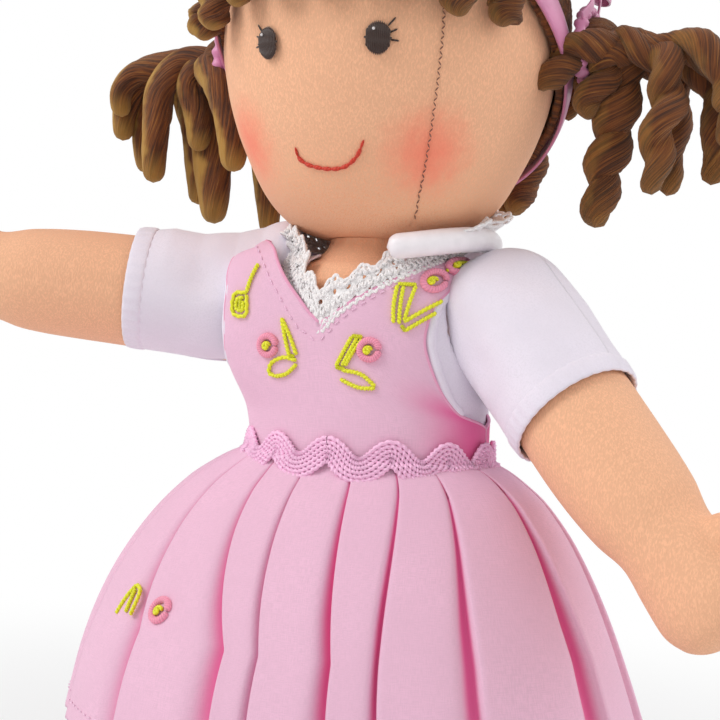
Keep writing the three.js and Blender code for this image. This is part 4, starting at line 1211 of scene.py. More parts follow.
def make_bow(name, side, middle):
    """Ribbon bow: two puffed loops, two tails and a knot."""
    parts = []
    for way in (-1, 1):
        def loop_shape(across, along):
            # Across is the ribbon's width, along goes out over the front of the loop and back behind it
            turn = along * TAU
            reach = 0.5 - 0.5 * np.cos(turn)
            puff = np.sin(turn) * (0.35 + 0.65 * reach) * 2.6
            wide = (across - 0.5) * (2.6 + 6.6 * reach ** 0.8)
            crimp = 0.35 * np.sin(across * 14 + way) * (1 - reach) + 0.25 * np.sin(across * 9) * reach
            y = way * (0.8 + 12.4 * reach)
            return middle + xyz(side * (puff + crimp), y, wide + 0.22 * np.abs(y))
        parts.append(shaped_grid("bow_loop", 22, 60, loop_shape, pattern=(9, 26)))

        def tail_shape(across, along):
            wide = (across - 0.5) * (2 + 3.4 * along)
            notch = 1.6 * np.abs(across - 0.5) * (along > 0.98)
            y = way * (1 + 7.5 * along) + wide * 0.4
            z = -(9 * along) + notch - 1 + wide * way * 0.35
            return middle + xyz(side * (1.0 + 0.7 * np.sin(along * 5 + way)), y, z)
        parts.append(shaped_grid("bow_tail", 8, 24, tail_shape, pattern=(4, 12)))
    for part in parts:
        thicken(part, 0.45)

    def knot_shape(across, along):
        turn, polar = across * TAU, along * np.pi
        crimp = 1 + 0.07 * np.sin(turn * 8)
        ball = xyz(np.sin(polar) * np.cos(turn) * 2.5, np.sin(polar) * np.sin(turn) * 2.2,
                   -np.cos(polar) * 2.7)
        return middle + ball * crimp[:, None]
    parts.append(shaped_grid("bow_knot", 40, 20, knot_shape))
    bow = join(f"{name}_bow_ribbon", parts)
    finish_piece(bow, "ribbon", "head", "satin_ribbon", f"{name}_bow")


# Arms and sleeves

def make_arm(name, side):
    place = arm_place(side)

    def arm_shape(across, along):
        turn = across * TAU
        top = ARM_BALL - 1.1
        polar = np.clip(along / 0.14, 0, 1) * np.pi / 2
        down = np.clip((along - 0.14) / 0.86, 0, 1)
        reach = 1 - (1 - down) ** 1.25
        wide, thick = eased(ARM_FORM, reach)
        dome = along < 0.14
        half_wide = np.where(dome, top * np.sin(polar), wide * ARM_RADIUS)
        half_thick = np.where(dome, top * np.sin(polar), thick * ARM_RADIUS)
        z = np.where(dome, top * np.cos(polar), -reach * ARM_LENGTH)
        seam = 0.3 * np.exp(-((turn - np.pi * 1.5) * ARM_RADIUS / 0.9) ** 2) * (reach > 0.02)
        lumps = ripple(21 + side, 6, z / 7, np.cos(turn) * 2, np.sin(turn) * 2)
        uneven = 0.35 * lumps * np.sin(np.pi * along)
        x = (half_wide - seam + uneven * (half_wide > 4)) * np.cos(turn)
        y = (half_thick - seam + uneven * (half_wide > 4)) * np.sin(turn)
        return put(xyz(x, y, z), place)
    arm = shaped_grid(f"{name}_arm_main", 72, 110, arm_shape)
    thumb_line = [(side * out * ARM_RADIUS, 0, -PALM_HEIGHT - along * THUMB_LENGTH)
                  for out, along in ((0.2, 0), (0.5, 0.25), (1.17, 0.7), (1.33, 1.4))]
    thumb = tubes(f"{name}_thumb", [put(thumb_line, place)],
                  lambda k, along, turn: THUMB_RADIUS * (1 - 0.35 * along ** 3), sides=24, steps=24)
    whole = join(f"{name}_arm_cloth", [arm, thumb])
    change(whole, "REMESH", mode="VOXEL", voxel_size=0.8 * MM, use_smooth_shade=True)
    change(whole, "SMOOTH", factor=0.5, iterations=6)
    finish_piece(whole, "skin", f"{name}_arm", "skin_knit", f"{name}_arm")


def sleeve_radius(side, along, turn, down):
    """Half width of a puffed sleeve: gathered at its armhole, full in the middle and caught in at its hem."""
    full = between_rows(SLEEVE_FORM, along)
    creases = length("crease") * (
        0.55 * ripple(31 + side, 5, turn * 1.0 * 2, down / 16, np.cos(turn) * 2)
        + 0.4 * np.sin(turn * 5 + 0.12 * down + side) * np.exp(-((along - 0.3) / 0.3) ** 2)
        - 0.9 * np.exp(-((turn - 4.4) / 0.35) ** 2 - ((along - 0.62) / 0.14) ** 2)
        - 0.8 * np.exp(-((turn - 1.5) / 0.4) ** 2 - ((along - 0.5) / 0.12) ** 2))
    gathers = 0.3 * np.sin(turn * 30) * np.exp(-along / 0.08)
    radius = full * ARM_BALL + (creases + gathers) * np.clip((1 - along) / 0.15, 0.25, 1)
    if side < 0:
        # The raised arm's sleeve is puffed above and drawn flat below
        above, below = np.maximum(-np.cos(turn), 0), np.maximum(np.cos(turn), 0)
        puff = above ** 2 * between_rows(SLEEVE_PUFF, along)
        radius = radius * (1 - 0.09 * below ** 2 * np.clip(along / 0.4, 0, 1)) + puff * 1.1
    return radius


def make_sleeve(name, side):
    place = arm_place(side)

    def sleeve_shape(across, along):
        turn = across * TAU
        opening = SLEEVE_OPENING[side]
        ball = np.radians(opening + (90 - opening) * np.clip(along / SLEEVE_HEAD, 0, 1))
        down = np.where(along < SLEEVE_HEAD, ARM_BALL * np.cos(ball),
                        -(SLEEVE_LENGTH - SLEEVE_HEM) * (along - SLEEVE_HEAD) / (1 - SLEEVE_HEAD))
        radius = sleeve_radius(side, along, turn, down) * np.where(along < SLEEVE_HEAD, np.sin(ball), 1)
        return put(turned(radius, turn, down), place)
    sleeve = shaped_grid(f"{name}_sleeve_cloth", 150, 64, sleeve_shape, middle=place[1], pattern=(97, 44))
    thicken(sleeve, 0.55)

    def hem_shape(across, along):
        # The turned hem is a flat loop of cloth: out, round its foot and back inside
        turn = across * TAU
        radius = sleeve_radius(side, np.full(turn.shape, 0.97), turn, np.full(turn.shape, -26.0))
        around = along * TAU
        out = 0.5 * squared_off(np.cos(around), 0.7)
        down = -(SLEEVE_LENGTH - 2.2) + 2.3 * squared_off(np.sin(around), 0.6)
        pucker = 0.12 * np.sin(turn * 34)
        radius = radius + out + 0.05 + pucker - 0.012 * (-down - 26) ** 2
        return put(turned(radius, turn, down), place)
    hem = shaped_grid(f"{name}_hem_cloth", 150, 20, hem_shape, pattern=(97, 9))
    finish_piece(hem, "jersey", f"{name}_arm", "white_jersey", f"{name}_sleeve_hem")
    start, end = (in_frame(put([(0, 0, d)], place))[0] for d in (12.5, 1.0))
    finish_piece(sleeve, "jersey", ("torso", f"{name}_arm", start, end), "white_jersey", f"{name}_sleeve")


# Dress

def patch(inner, outer, facing, offset, side):
    """Part of the dress between an inner and an outer edge, each a list of longitude and height."""
    inner_line = np.array([(i, *p) for i, p in enumerate(inner)], float)
    outer_line = np.array([(i, *p) for i, p in enumerate(outer)], float)

    def shape(across, along):
        at = along * (len(inner) - 1)
        inner_turn, inner_z = eased(inner_line, at)
        outer_turn, outer_z = eased(outer_line, at)
        if side < 0:
            # The same distance from the middle is fewer degrees round the full side
            wide = torso_ring(inner_z, offset)[0]
            share = wide / (wide + eased(FULL_FORM, inner_z)[0])
            narrow = np.degrees(np.arcsin(np.sin(np.radians(inner_turn)) * share))
            inner_turn = narrow + (inner_turn - narrow) * (inner_turn / 90) ** 6
        points = on_dress(inner_turn + (outer_turn - inner_turn) * across,
                          inner_z + (outer_z - inner_z) * across, offset, side)
        if facing > 0:
            return shifted_aside(points, offset)
        points[:, 1] *= facing
        return points
    return shape


def make_jersey_top():
    def shape(across, along):
        longitude = across * 360 - 180
        top = np.where(np.abs(longitude) < 90, 160.5 + np.abs(np.sin(np.radians(longitude))) * 26, 200)
        top = np.minimum(top, TORSO_TOP + 0.4)
        z = WAIST_HEIGHT + 0.2 + (top - WAIST_HEIGHT) * along
        points = on_torso(longitude, z, JERSEY_LAYER)
        return clear_of_arms(points, ARM_BALL + 0.75)
    top = shaped_grid("jersey_top_cloth", 180, 60, shape, middle=(0, 0, 150), pattern=(160, 46))
    thicken(top, 0.5)
    finish_piece(top, "jersey", "torso", "white_jersey", "jersey_top")


def make_bodice():
    panels, edges, topstitches = [], [], []
    for side in (1, -1):
        armhole = ARMHOLE_EDGE if side > 0 else FULL_ARMHOLE
        welt = []
        for facing, inner in ((1, NECK_EDGE), (-1, BACK_EDGE)):
            surface = patch(inner, armhole, facing, DRESS_LAYER, side)
            # Painted shade: the cloth of the lowered arm's side is painted deeper pink under the arm, where
            # it lies in shade
            shadow = (lambda u, v: np.clip((u - 0.2) / 0.7, 0, 1) ** 1.2 * np.clip((0.42 - v) / 0.24, 0, 1)
                      ) if side > 0 else (lambda u, v: 0 * u)
            panels.append(shaped_grid("bodice_panel", 44, 88, surface, middle=(0, 0, 150),
                                      pattern=(30, 50), marks={"fold": shadow}))
            lifted = patch(inner, armhole, facing, DRESS_LAYER + 0.42, side)
            along = np.linspace(0.4, 1, 60) if facing > 0 else np.linspace(0.02, 1, 80)
            edges.append(surface(0 * along, along))
            along = np.linspace(0.06, 1, 80)
            edges.append(surface(0 * along + 1, along))
            under = patch(inner, armhole, facing, DRESS_LAYER - 0.7, side)
            welt.append(under(0 * along + (1.05 if side < 0 else 1.1), along))
            if facing > 0:
                inset = np.linspace(0.36, 0.94, 60)
                near = np.interp(inset, [0.36, 0.42, 1], [0.02, 0.11, 0.2])
                topstitches += stitches_along(lifted(near, inset - 0.028), 1.5, 1.0)
        make_armhole_welt(np.vstack([welt[0][16:], welt[1][-2:15:-1]]), side)
    cloth = thicken(face_out(join("bodice_cloth", panels), (0, 0, 150)), length("cloth"))
    rolled = tubes("bodice_edge", edges, 0.42, sides=8, steps=70)
    # Painted shade: the rolled edges are painted part way to the deep pink, as the shaded line along them
    paint(rolled, "fold", np.full(len(rolled.data.vertices), 0.45))
    bodice = join("dress_bodice_cloth", [cloth, rolled])
    finish_piece(bodice, "poplin", "torso", "pink_poplin", "dress_bodice")
    sewn("bodice_topstitch", topstitches, STITCH_RADIUS, "topstitch", "torso", "pink_poplin", steps=4)


def make_armhole_welt(line, side):
    """Roll of jersey that stands out of the armhole, where the sleeve is set in."""
    outward = line - np.array([0, 0, 160])
    outward[:, 2] = 0
    outward /= np.maximum(np.linalg.norm(outward, axis=1), 1)[:, None]
    sewn("left_armhole_welt" if side > 0 else "right_armhole_welt", [line - outward * 0.3],
         lambda k, along, turn: (1.35 if side > 0 else 1.5) * (1 + 0.05 * np.sin(along * 90)),
         "jersey", "torso", "white_jersey", sides=20, steps=110)


def skirt_point(longitude, drop, fold):
    aside, ahead, _ = eased(SKIRT_FORM, drop)
    waist_wide, waist_deep = torso_ring(np.full(np.shape(drop), float(WAIST_HEIGHT)), DRESS_LAYER)
    half_wide = waist_wide + (SKIRT_WIDTH / 2 - waist_wide) * aside - fold
    half_deep = waist_deep + (SKIRT_DEPTH / 2 - waist_deep) * ahead - fold
    turn = np.radians(longitude)
    z = SKIRT_TOP - drop * SKIRT_LENGTH + 0 * turn
    sway = SKIRT_SWAY * np.sin(np.pi * drop)
    return xyz(half_wide * np.sin(turn) - sway, -half_deep * np.cos(turn), z)


def make_skirt():
    count = len(PLEAT_FOLDS)
    tops = np.array([t for t, _ in PLEAT_FOLDS] + [PLEAT_FOLDS[0][0] + 360], float)
    lows = np.array([m for _, m in PLEAT_FOLDS] + [PLEAT_FOLDS[0][1] + 360], float)
    random = np.random.default_rng(17)
    depths = random.uniform(0.75, 1.15, count)
    per_pleat = 18

    def pleated(across, drop):
        at = across * count
        k = np.clip(at.astype(int), 0, count - 1)
        lie, inset = eased(PLEAT_FORM, at - k)
        # The folded-in part of a pleat is narrow at the waist and opens downwards
        open_part, opened = 1 - lie, np.interp(drop, [0, 0.1, 0.5, 1], [0.35, 0.6, 1.1, 1.35])
        lie = 1 - np.where(open_part < 0.3, open_part * opened,
                           0.3 * opened + (open_part - 0.3) * (1 - 0.3 * opened) / 0.7)
        reach = np.clip(drop / 0.457, 0, 1.35)
        first = tops[k] + (lows[k] - tops[k]) * reach
        last = tops[k + 1] + (lows[k + 1] - tops[k + 1]) * reach
        depth = eased(SKIRT_FORM, drop)[2]
        fold = PLEAT_DEPTH * depth * depths[k] * inset
        fold = fold + 0.5 * drop * ripple(41, 5, at * 1.9, drop * 5)
        # The second value is painted shade: how far the cloth is painted deep pink inside each pleat, a
        # little less towards the hem, for the shade and the light through the cloth there
        return skirt_point(first + (last - first) * lie, drop, fold), inset * np.clip(1.3 - 0.6 * drop, 0, 1)

    skirt = shaped_grid("dress_skirt_cloth", count * per_pleat, 90, lambda u, v: pleated(u, 1 - v)[0],
                        pattern=(420, 66), middle=(0, 0, 100),
                        marks={"fold": lambda u, v: pleated(u, 1 - v)[1]})
    thicken(skirt, length("cloth"))
    finish_piece(skirt, "poplin", "torso", "pink_poplin", "dress_skirt")
    ways = np.linspace(0, 1, count * 8)
    line = pleated(ways, np.full(ways.shape, 0.935))[0]
    line[:, :2] *= 1.007
    hem = sewn("skirt_hem_stitch", stitches_along(line, 1.5, 1.1), STITCH_RADIUS, "topstitch", "torso",
               "pink_poplin")


def make_braid():
    """Wavy braid: cords side by side, each a string of small slanting beads of thread."""
    cords, steps = 6, 1150
    turn = np.linspace(0, 360, steps + 1)
    phase = np.radians((turn - BRAID_CREST) * BRAID_WAVES)
    wave = BRAID_SWING * (np.cos(phase) + 0.1 * np.cos(2 * phase))
    middle = on_torso(turn, WAIST_HEIGHT - 1.6 + wave, TRIM_LAYER)

    def over_skirt(points):
        """Moves what hangs below the waist seam out onto the skirt."""
        drop = np.clip((SKIRT_TOP - points[:, 2]) / SKIRT_LENGTH, 0, 1)
        way = np.degrees(np.arctan2(points[:, 0], -points[:, 1]))
        cloth = skirt_point(way, drop, -1.5)
        reach = np.linalg.norm(cloth[:, :2], axis=1) - np.linalg.norm(middle_at(way), axis=1)
        points[:, :2] *= (1 + np.clip(reach, 0, 1.3) / np.linalg.norm(points[:, :2], axis=1))[:, None]
        return points

    def middle_at(way):
        return on_torso(way, np.full(way.shape, float(WAIST_HEIGHT)), TRIM_LAYER)[:, :2]
    ahead = unit(np.gradient(middle, axis=0))
    outward = xyz(np.sin(np.radians(turn)), -np.cos(np.radians(turn)), 0 * turn)
    upward = np.cross(outward, ahead)
    upward *= np.sign(upward[:, 2:])
    pieces = []
    for k in range(cords):
        shift = (k - (cords - 1) / 2) * BRAID_WIDTH / cords

        def cord_shape(across, along, shift=shift, k=k):
            row = np.rint(along * steps).astype(int)
            round_it = across * TAU
            bead = 1 + 0.3 * np.sin(along * TAU * 230 + round_it + k * np.pi)
            rise = (shift + 0.53 * bead * np.sin(round_it))[:, None]
            out = (0.62 * bead * np.cos(round_it) - 0.15)[:, None]
            return over_skirt(middle[row] + upward[row] * rise + outward[row] * out)
        pieces.append(shaped_grid("braid_cord", 6, steps, cord_shape, pattern=(1, 4)))
    braid = join("waist_braid", pieces)
    finish_piece(braid, "braid", "torso", "ricrac_braid", "waist_ricrac")


def make_embroidery():
    rings, knots, leaves = [], [], []
    flower_radius, knot_lift = 2.1, 0.75
    for x, z in FLOWERS + [SKIRT_FLOWER]:
        def spot(aside, rise, lift=0.0):
            if z < WAIST_HEIGHT:
                drop = np.clip((SKIRT_TOP - z - rise) / SKIRT_LENGTH, 0, 1)
                return skirt_point(x + aside * 1.05, drop, -0.9 - lift)
            return on_dress_front(x + aside, z + rise, DRESS_LAYER + 0.75 + lift)
        around = np.linspace(0, TAU, 33)
        rings.append(spot(flower_radius * np.cos(around), flower_radius * np.sin(around)))
        swirl = np.linspace(0, 2.6 * np.pi, 20)
        reach = np.linspace(0.85, 0.25, 20)
        lift = np.linspace(0, knot_lift, 20)
        knots.append(spot(reach * np.cos(swirl) - 0.3, reach * np.sin(swirl) - 0.2, lift))
    sewn("flower_rings", rings, lambda k, along, turn: 0.82 * (1 + 0.04 * np.sin(along * 130)),
         "petal", "torso", "smile_thread", sides=12, steps=44)
    for leaf in LEAVES:
        line = smooth_flat(leaf, 24)
        leaves.append(on_dress_front(line[:, 0], line[:, 1], DRESS_LAYER + 0.62))
    for leaf in SKIRT_LEAVES:
        line = smooth_flat(leaf, 24)
        leaves.append(skirt_point(line[:, 0], (SKIRT_TOP - line[:, 1]) / SKIRT_LENGTH, -0.7))
    half = length("thread") / 2

    def beaded(k, along, turn):
        return half * (1 + 0.2 * np.sin(along * TAU * 11 + turn))
    thread = tubes("leaf_stitches", leaves, beaded, sides=8, steps=66)
    middles = tubes("flower_middles", knots, 0.5, sides=8, steps=30)
    finish_piece(join("leaf_embroidery", [thread, middles]), "leaf", "torso", "smile_thread")


def make_buttons():
    """Three sewn-through buttons on the back, over a stitched placket."""
    for k in range(3):
        node = f"back_button_{k + 1}"
        make_button(f"{node}_pearl", node_middle(node), (0, 1, 0), 2.6, 1.5, "torso", node)
    wide = np.linspace(0, 1, 40)
    placket = patch(BACK_EDGE, ARMHOLE_EDGE, -1, DRESS_LAYER + 0.42, 1)
    lines = stitches_along(placket(0 * wide + 0.09, wide * 0.6), 1.4, 1.1)
    sewn("placket_stitch", lines, STITCH_RADIUS, "topstitch", "torso", "pink_poplin")


def make_button(name, middle, facing, radius, thickness, body, node):
    """Round button with a raised rim, a dished middle and a stitched cross of thread."""
    deselect()
    bpy.ops.mesh.primitive_cylinder_add(vertices=40, radius=radius, depth=thickness)
    button = bpy.context.object
    mode("EDIT")
    bpy.ops.mesh.select_all(action="DESELECT")
    mode("OBJECT")
    for face in button.data.polygons:
        face.select = face.normal.z > 0.9
    mode("EDIT")
    bpy.ops.mesh.inset(thickness=radius * 0.24, depth=0)
    bpy.ops.mesh.inset(thickness=radius * 0.1, depth=-thickness * 0.3)
    bpy.ops.mesh.inset(thickness=radius * 0.2, depth=0)
    mode("OBJECT")
    change(button, "BEVEL", width=radius * 0.07, segments=2, limit_method="ANGLE")
    turn = Vector((0, 0, 1)).rotation_difference(Vector(facing)).to_matrix()
    points = corners(button) @ np.array(turn).T
    move_corners(button, in_frame(points + middle))
    button.name = button.data.name = name
    face_out(button)
    finish_piece(button, "button", body, "pearl_button", node)
    keep_edges(button)
    cross = []
    for way in (1, -1):
        ends = np.array([(-0.3 * radius, -0.3 * way * radius, thickness * 0.28),
                         (0, 0, thickness * 0.5), (0.3 * radius, 0.3 * way * radius, thickness * 0.28)])
        cross.append(ends @ np.array(turn).T + middle)
    sewn(f"{name}_thread", cross, 0.22, "topstitch", body, "pearl_button", sides=6, steps=6)


# Lace and collar

def crochet(name, columns, rows, surface, holes, thickness):
    """Crocheted lace: thick threads with eyelets left out, knobbly and rounded by subdivision."""
    random = np.random.default_rng(53)

    def rough(across, along):
        u = across + random.uniform(-0.22, 0.22, across.shape) / columns * (across > 0.001) * (across < 0.999)
        v = along + random.uniform(-0.22, 0.22, along.shape) / rows * (along > 0.001)
        return surface(np.clip(u, 0, 1), v, random.uniform(-0.25, 0.3, across.shape))
    piece = shaped_grid(name, columns, rows, rough, middle=(0, 0, 165))
    mesh = piece.data
    spots = np.array([np.mean([mesh.uv_layers.active.data[i].uv for i in face.loop_indices], axis=0)
                      for face in mesh.polygons])
    gone = holes(np.floor(spots[:, 0] * columns).astype(int), np.floor(spots[:, 1] * rows).astype(int))
    cut_faces(piece, gone)
    thicken(piece, thickness, levels=2)
    return piece


def make_neck_lace():
    """Lace in the V of the neckline, from its seam under the dress to a scalloped inner edge."""
    ways = np.linspace(0, 1, 161)
    foot, edge = (smooth_flat(np.array(line) * (0.5, 1), 161) * (2, 1, 1) for line in (LACE_FOOT, LACE_EDGE))

    def surface(across, along, lift):
        scallop = 0.5 + 0.5 * np.cos(across * TAU * 13)
        reach = along * (0.84 + 0.2 * scallop * along)
        turn = np.interp(across, ways, foot[:, 0]) * (1 - reach) + np.interp(across, ways, edge[:, 0]) * reach
        z = np.interp(across, ways, foot[:, 1]) * (1 - reach) + np.interp(across, ways, edge[:, 1]) * reach
        across_it = np.sin(np.radians(turn))
        aside = NECKLINE_SHIFT / 28.5 * np.cos(np.pi / 2 * np.abs(across_it)) ** 2
        turn = np.degrees(np.arcsin(np.clip(across_it - aside, -1, 1)))
        over = np.maximum(z - (TORSO_TOP - 0.4), 0)
        points = on_torso(turn, np.minimum(z, TORSO_TOP + 0.2), JERSEY_LAYER + 0.75 + lift + 0.8 * along)
        points[:, 2] += over
        return points
    lace = crochet("neckline_crochet", 100, 10, surface,
                   lambda c, r: ((r == 2) & (c % 4 == 0) & (c > 44) | (r == 5) & (c % 5 == 1)
                                 | (r == 7) & (c % 4 == 2)), 0.9)
    loops, random = [], np.random.default_rng(61)
    for k in range(58):
        across = np.full(9, (k + 0.5) / 58)
        around = np.linspace(-0.3, np.pi + 0.3, 9)
        u = across + 0.0098 * np.cos(around)
        v = 0.97 + 0.1 * np.sin(around) * random.uniform(0.6, 1.4)
        loops.append(surface(u, v, 0.15))
    picots = tubes("lace_picots", loops, 0.42, sides=7, steps=12)
    stitches = []
    for _ in range(420):
        u, v = random.uniform(0.01, 0.99), random.uniform(0.02, 1.02)
        start, size = random.uniform(0, TAU), random.uniform(0.5, 0.9)
        around = start + np.linspace(0, 4.2, 5)
        stitches.append(surface(u + 0.0058 * size * np.cos(around), v + 0.085 * size * np.sin(around),
                                0.45 + 0 * around))
    stitches = tubes("lace_stitches", stitches, 0.3, sides=5, steps=6)
    chains = []
    for at, wobble in ((0.06, 0.06), (0.5, 0.1), (0.9, 0.05)):
        fine = np.linspace(0, 1, 520)
        chains.append(surface(fine, at + wobble * np.sin(fine * TAU * 60),
                              0.5 + 0.2 * np.cos(fine * 380)))
    chain = tubes("lace_chains", chains, lambda k, along, turn: 0.34 + 0.08 * np.sin(along * 700), sides=6,
                  steps=500)
    whole = join("neckline_crochet", [lace, picots, chain, stitches])
    finish_piece(whole, "lace", "torso", "cotton_lace", "lace_neckline")


def make_frill():
    """Standing lace frill round the sides and back of the neck."""
    def surface(across, along, lift):
        turn = np.radians(-30 + 240 * across)
        ruffle = 1.9 * along * np.sin(turn * FRILL_RUFFLES + 0.5 * np.sin(turn * 4))
        # It lies closer to the neck on the doll's right, where nothing spreads it
        close = np.clip((np.degrees(turn) - 110) / 60, 0, 1)
        radius = FRILL_RADIUS - 0.8 * close + (10 - 5 * close) * along
        radius = radius + ruffle * (1 - 0.5 * close) + 0.6 * lift
        scallop = 0.7 * np.abs(np.sin(turn * FRILL_RUFFLES)) * along
        ends = closing(across, 0.2) ** 0.7
        rise = (9.9 * along + scallop - 0.8 * along * np.cos(turn * FRILL_RUFFLES)) * (0.35 + 0.65 * ends)
        z = TORSO_TOP + 1.9 + rise * (1 - 0.4 * close)
        return turned(radius, turn, z)
    frill = crochet("neck_frill_crochet", 96, 9, surface,
                    lambda c, r: ((r == 2) & (c % 3 == 0) | (r == 5) & (c % 4 == 1)
                                  | (r == 7) & (c % 3 == 1)), 0.7)
    loops = []
    for k in range(60):
        around = np.linspace(-0.2, np.pi + 0.2, 9)
        loops.append(surface((k + 0.5) / 60 + 0.0085 * np.cos(around), 0.98 + 0.12 * np.sin(around), 0.1))
    picots = tubes("frill_picots", loops, 0.36, sides=6, steps=10)
    whole = join("neck_frill_crochet", [frill, picots])
    finish_piece(whole, "lace", "torso", "cotton_lace", "lace_frill")


def make_collar_roll():
    def line(turn):
        lift = 1 + 4.6 * np.cos(turn) ** 2
        return xyz(COLLAR_WIDTH * np.cos(turn), COLLAR_DEPTH * np.sin(turn), TORSO_TOP + lift)
    path = line(np.radians(np.linspace(-66, 140, 30)))

    def radius(k, along, turn):
        soft = 1 + 0.03 * ripple(71, 4, along * 22, np.cos(turn) * 1.5)
        return COLLAR_RADIUS * soft * np.interp(along, [0, 0.05, 0.75, 1], [1.02, 1, 1, 0.55])
    roll = tubes("collar_roll_satin", [path], radius, sides=28, steps=120)
    finish_piece(roll, "satin", "torso", "satin_roll", "collar_roll")
    fine = line(np.radians(np.linspace(-52, 138, 200)))
    fine[:, 2] -= 1.5
    fine[:, :2] *= 1.075
    sewn("collar_roll_stitch", stitches_along(fine, 1.4, 1.0), 0.15, "glint", "torso", "satin_roll")


# Bloomers, legs and shoes

def make_bloomer_seat():
    def shape(across, along):
        z = HIP_HEIGHT - SEAT_DEPTH + (SEAT_RISE + SEAT_DEPTH) * along
        points = on_torso(across * 360, z, JERSEY_LAYER)
        gathers = 0.25 * np.sin(across * TAU * 46) * np.exp(-(1 - along) / 0.08)
        points[:, :2] *= (1 + gathers / 29)[:, None] * np.clip(along / 0.02, 0, 1)[:, None]
        return clear_of_legs(points, LEG_BALL + 0.3)
    seat = shaped_grid("bloomer_seat_cloth", 184, 60, shape, middle=(0, 0, 105), pattern=(165, 36))
    thicken(seat, 0.5)
    finish_piece(seat, "cotton", "torso", "white_cotton", "bloomer_seat")


def make_leg(name, side):
    pivot = np.array([side * HIP_SPACING / 2, 0, HIP_HEIGHT])
    place = (np.eye(3), pivot)
    body = f"{name}_leg"

    def leg_shape(across, along):
        turn = across * TAU
        top = LEG_BALL - 1
        dome = along < 0.16
        polar = np.clip(along / 0.16, 0, 1) * np.pi / 2
        down = np.clip((along - 0.16) / 0.84, 0, 1) * LEG_LENGTH
        radius = between_rows(LEG_FORM, down)
        radius = np.where(dome, top * np.sin(polar), radius)
        lumps = ripple(81 + side, 6, down / 8, np.cos(turn) * 2, np.sin(turn) * 2)
        radius = radius + 0.3 * lumps * (down < 76) * (~dome)
        seam = 0.3 * np.exp(-((turn - np.pi / 2) * 10 / 0.9) ** 2) * (~dome)
        z = np.where(dome, top * np.cos(polar), -down)
        return put(turned(radius - seam, turn, z), place)
    leg = shaped_grid(f"{name}_leg_cloth", 64, 90, leg_shape)
    finish_piece(leg, "skin", body, "skin_knit", f"{name}_leg")

    def bloomer_shape(across, along):
        turn = across * TAU
        ball = np.radians(36 + 54 * np.clip(along / BLOOMER_HEAD, 0, 1))
        down = np.where(along < BLOOMER_HEAD, LEG_BALL * np.cos(ball),
                        -BLOOMER_LENGTH * (along - BLOOMER_HEAD) / (1 - BLOOMER_HEAD))
        full = between_rows(BLOOMER_FORM, -down)
        folds = 0.55 * ripple(91 + side, 6, turn * 2, down / 12, np.sin(turn) * 2) * (along > BLOOMER_HEAD)
        gathers = 0.34 * np.sin(turn * 24) * np.exp(-((-down - 36.3) / 3.4) ** 2)
        frill = 0.95 * np.sin(turn * 16 + 0.5 * np.sin(turn * 5)) * np.clip((-down - 36.5) / 5.5, 0, 1)
        radius = (LEG_BALL * full + folds * np.clip((36 + down) / 8, 0, 1) + gathers + frill)
        radius = radius * np.where(along < BLOOMER_HEAD, np.sin(ball), 1)
        return put(turned(radius, turn, down), place)
    bloomer = shaped_grid(f"{name}_bloomer_cloth", 200, 90, bloomer_shape, middle=pivot, pattern=(88, 55))
    thicken(bloomer, 0.5)
    finish_piece(bloomer, "cotton", body, "white_cotton", f"{name}_bloomer_leg")
    make_sock_and_shoe(name, side, pivot, body)


def foot_and_ankle(name, middle, half, ankle_radius, low, high, pivot):
    """A ball for the foot and a post for the ankle, grown into one form."""
    deselect()
    bpy.ops.mesh.primitive_uv_sphere_add(segments=40, ring_count=24, radius=1)
    foot = bpy.context.object
    move_corners(foot, in_frame(corners(foot) * half + middle))
    deselect()
    bpy.ops.mesh.primitive_cylinder_add(vertices=48, radius=ankle_radius * MM, depth=(high - low) * MM)
    ankle = bpy.context.object
    move_corners(ankle, corners(ankle) + in_frame((pivot[0], pivot[1], (high + low) / 2)))
    whole = join(name, [foot, ankle])
    change(whole, "REMESH", mode="VOXEL", voxel_size=0.7 * MM, use_smooth_shade=True)
    change(whole, "SMOOTH", factor=0.6, iterations=8)
    return whole


